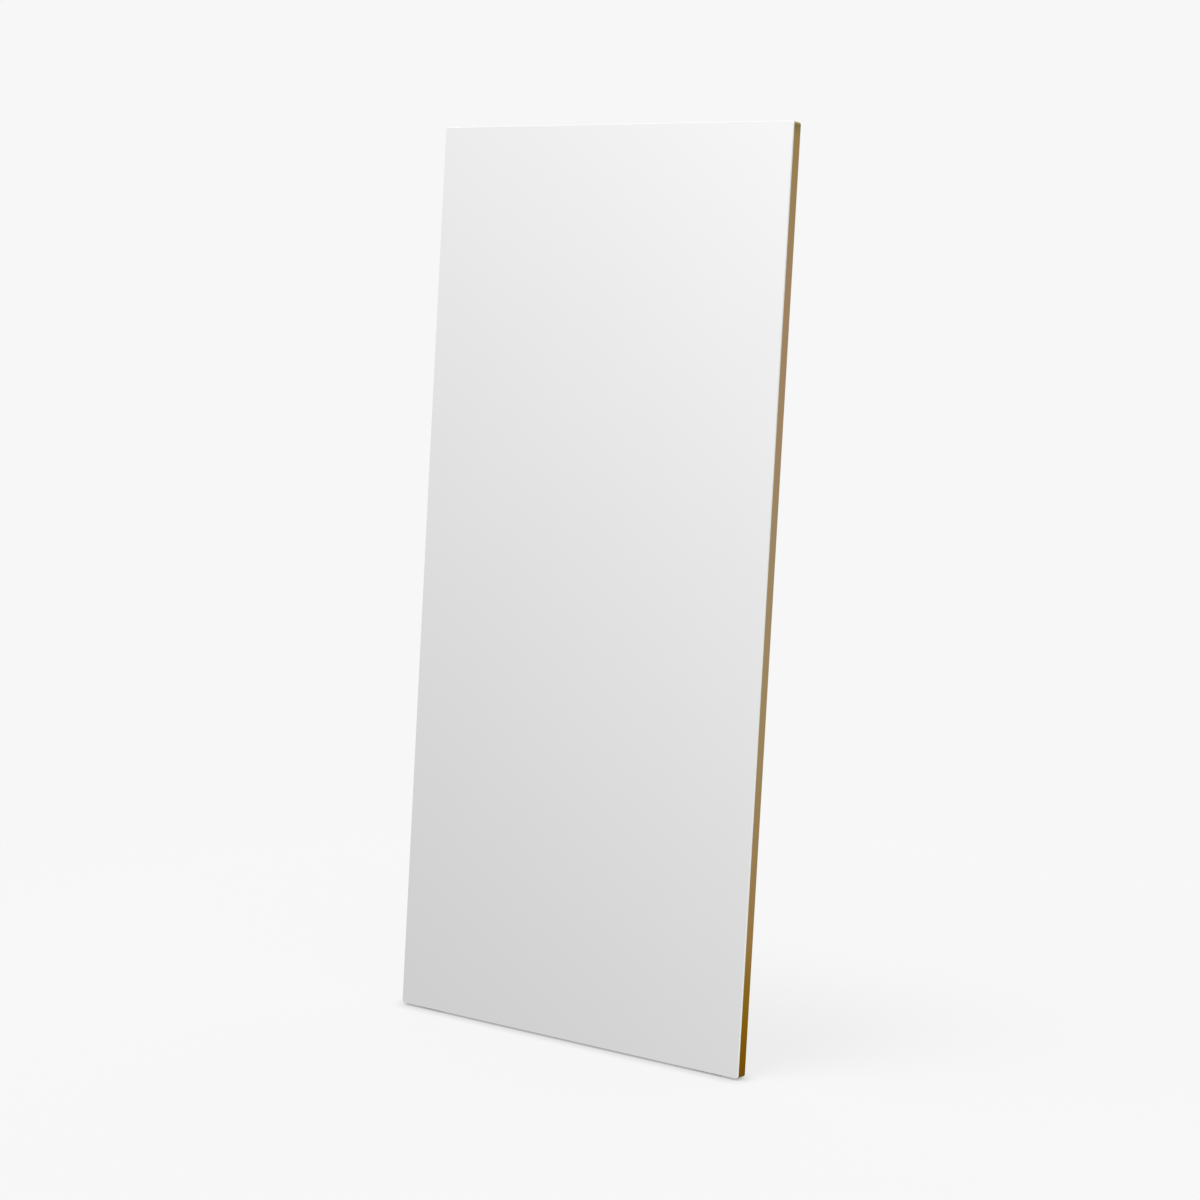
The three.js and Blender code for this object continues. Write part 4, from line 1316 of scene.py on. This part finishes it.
def slanted_paper(tree, direction):
    rise = plus(tree, dot(tree, direction, SLANT), SLANT_OFFSET - SLANT_MIDDLE)
    bent = maths(tree, "TANH", maths(tree, "DIVIDE", rise, SLANT_SPREAD))
    return plus(tree, times(tree, bent, SLANT_SPREAD), SLANT_MIDDLE)


def even_paper(tree, part):
    lifted = times(tree, maths(tree, "TANH", times(tree, part["Z"], EVEN_LIFT_RATE)), EVEN_LIFT)
    drifted = times(tree, part["X"], EVEN_DRIFT)
    return plus(tree, plus(tree, lifted, drifted), EVEN_LEVEL)


def dim_room(tree, direction, part):
    room = plus(tree, times(tree, part["Z"], ROOM_LIFT), ROOM_LEVEL)
    for towards, sharpness, strength in ROOM_LIGHTS:
        facing = maths(tree, "MAXIMUM", dot(tree, direction, Vector(towards).normalized()), 0.0)
        room = plus(tree, room, times(tree, maths(tree, "POWER", facing, sharpness), strength))
    return room


def studio_light():
    """White to the eye. The pieces reflect shaded paper ahead of the glass, and a dimmer room elsewhere."""
    world = bpy.data.worlds.new("studio")
    bpy.context.scene.world = world
    world.use_nodes = True
    tree = world.node_tree
    tree.nodes.clear()
    direction = add(tree, "ShaderNodeTexCoord").outputs["Generated"]
    part = add(tree, "ShaderNodeSeparateXYZ", {0: direction}).outputs
    leftward = remap(tree, part["X"], -0.25, -0.50)
    ahead = remap(tree, part["Y"], -0.10, -0.45)
    paper = blend(tree, leftward, even_paper(tree, part), slanted_paper(tree, direction))
    reflected = blend(tree, ahead, dim_room(tree, direction, part), paper)
    seen = add(tree, "ShaderNodeLightPath").outputs["Is Camera Ray"]
    level = blend(tree, seen, reflected, PAPER_WHITE)
    glow = add(tree, "ShaderNodeBackground", {"Color": (1, 1, 1, 1), "Strength": level}).outputs[0]
    add(tree, "ShaderNodeOutputWorld", {"Surface": glow})


# A wide, even sun: the way to it, its strength, and its spread in degrees
KEY_TOWARDS = (-0.20, -0.36, 1.7)
KEY_STRENGTH = 2.6
KEY_SPREAD = 20


def key_light():
    """Light from far off, high and a little to the front left, kept out of reflections."""
    data = bpy.data.lights.new("key_light", "SUN")
    data.energy = KEY_STRENGTH
    data.angle = math.radians(KEY_SPREAD)
    lamp = bpy.data.objects.new("key_light", data)
    lamp.rotation_euler = Vector(KEY_TOWARDS).to_track_quat("Z", "Y").to_euler()
    lamp.visible_glossy = False
    lamp.visible_camera = False
    bpy.context.scene.collection.objects.link(lamp)


# The eye's place from the foot of the glass, its downward dip and its turn in degrees, and its lens
EYE = (3.204, -4.021, 1.559)
EYE_DIP = 8.065
EYE_TURN = 37.758
LENS_LENGTH = 85
SENSOR_WIDTH = 36


def studio_camera():
    """At eye height, to the right of the glass and well back, with a long lens."""
    data = bpy.data.cameras.new("camera")
    data.lens = LENS_LENGTH
    data.sensor_width = SENSOR_WIDTH
    camera = bpy.data.objects.new("camera", data)
    low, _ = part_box("mirror_glass")
    camera.location = Vector((0, low.y, low.z)) + Vector(EYE)
    camera.rotation_euler = (math.radians(90 - EYE_DIP), 0, math.radians(EYE_TURN))
    bpy.context.scene.collection.objects.link(camera)
    bpy.context.scene.camera = camera


# ---- making it -------------------------------------------------------------------------------------------

mirror_pane()
frame_rails()
backing_board()
strap_plate()
screws()
hinge_brackets()
pivot_fasteners()
stand_tube()
tube_plugs()
ribs = ribs_tree()
rubber_sleeves(ribs)
wedge_pads(ribs)
bumpers()
dress_hidden_nodes()

studio_floor()
studio_light()
key_light()
studio_camera()
bpy.context.scene.view_settings.view_transform = "Standard"
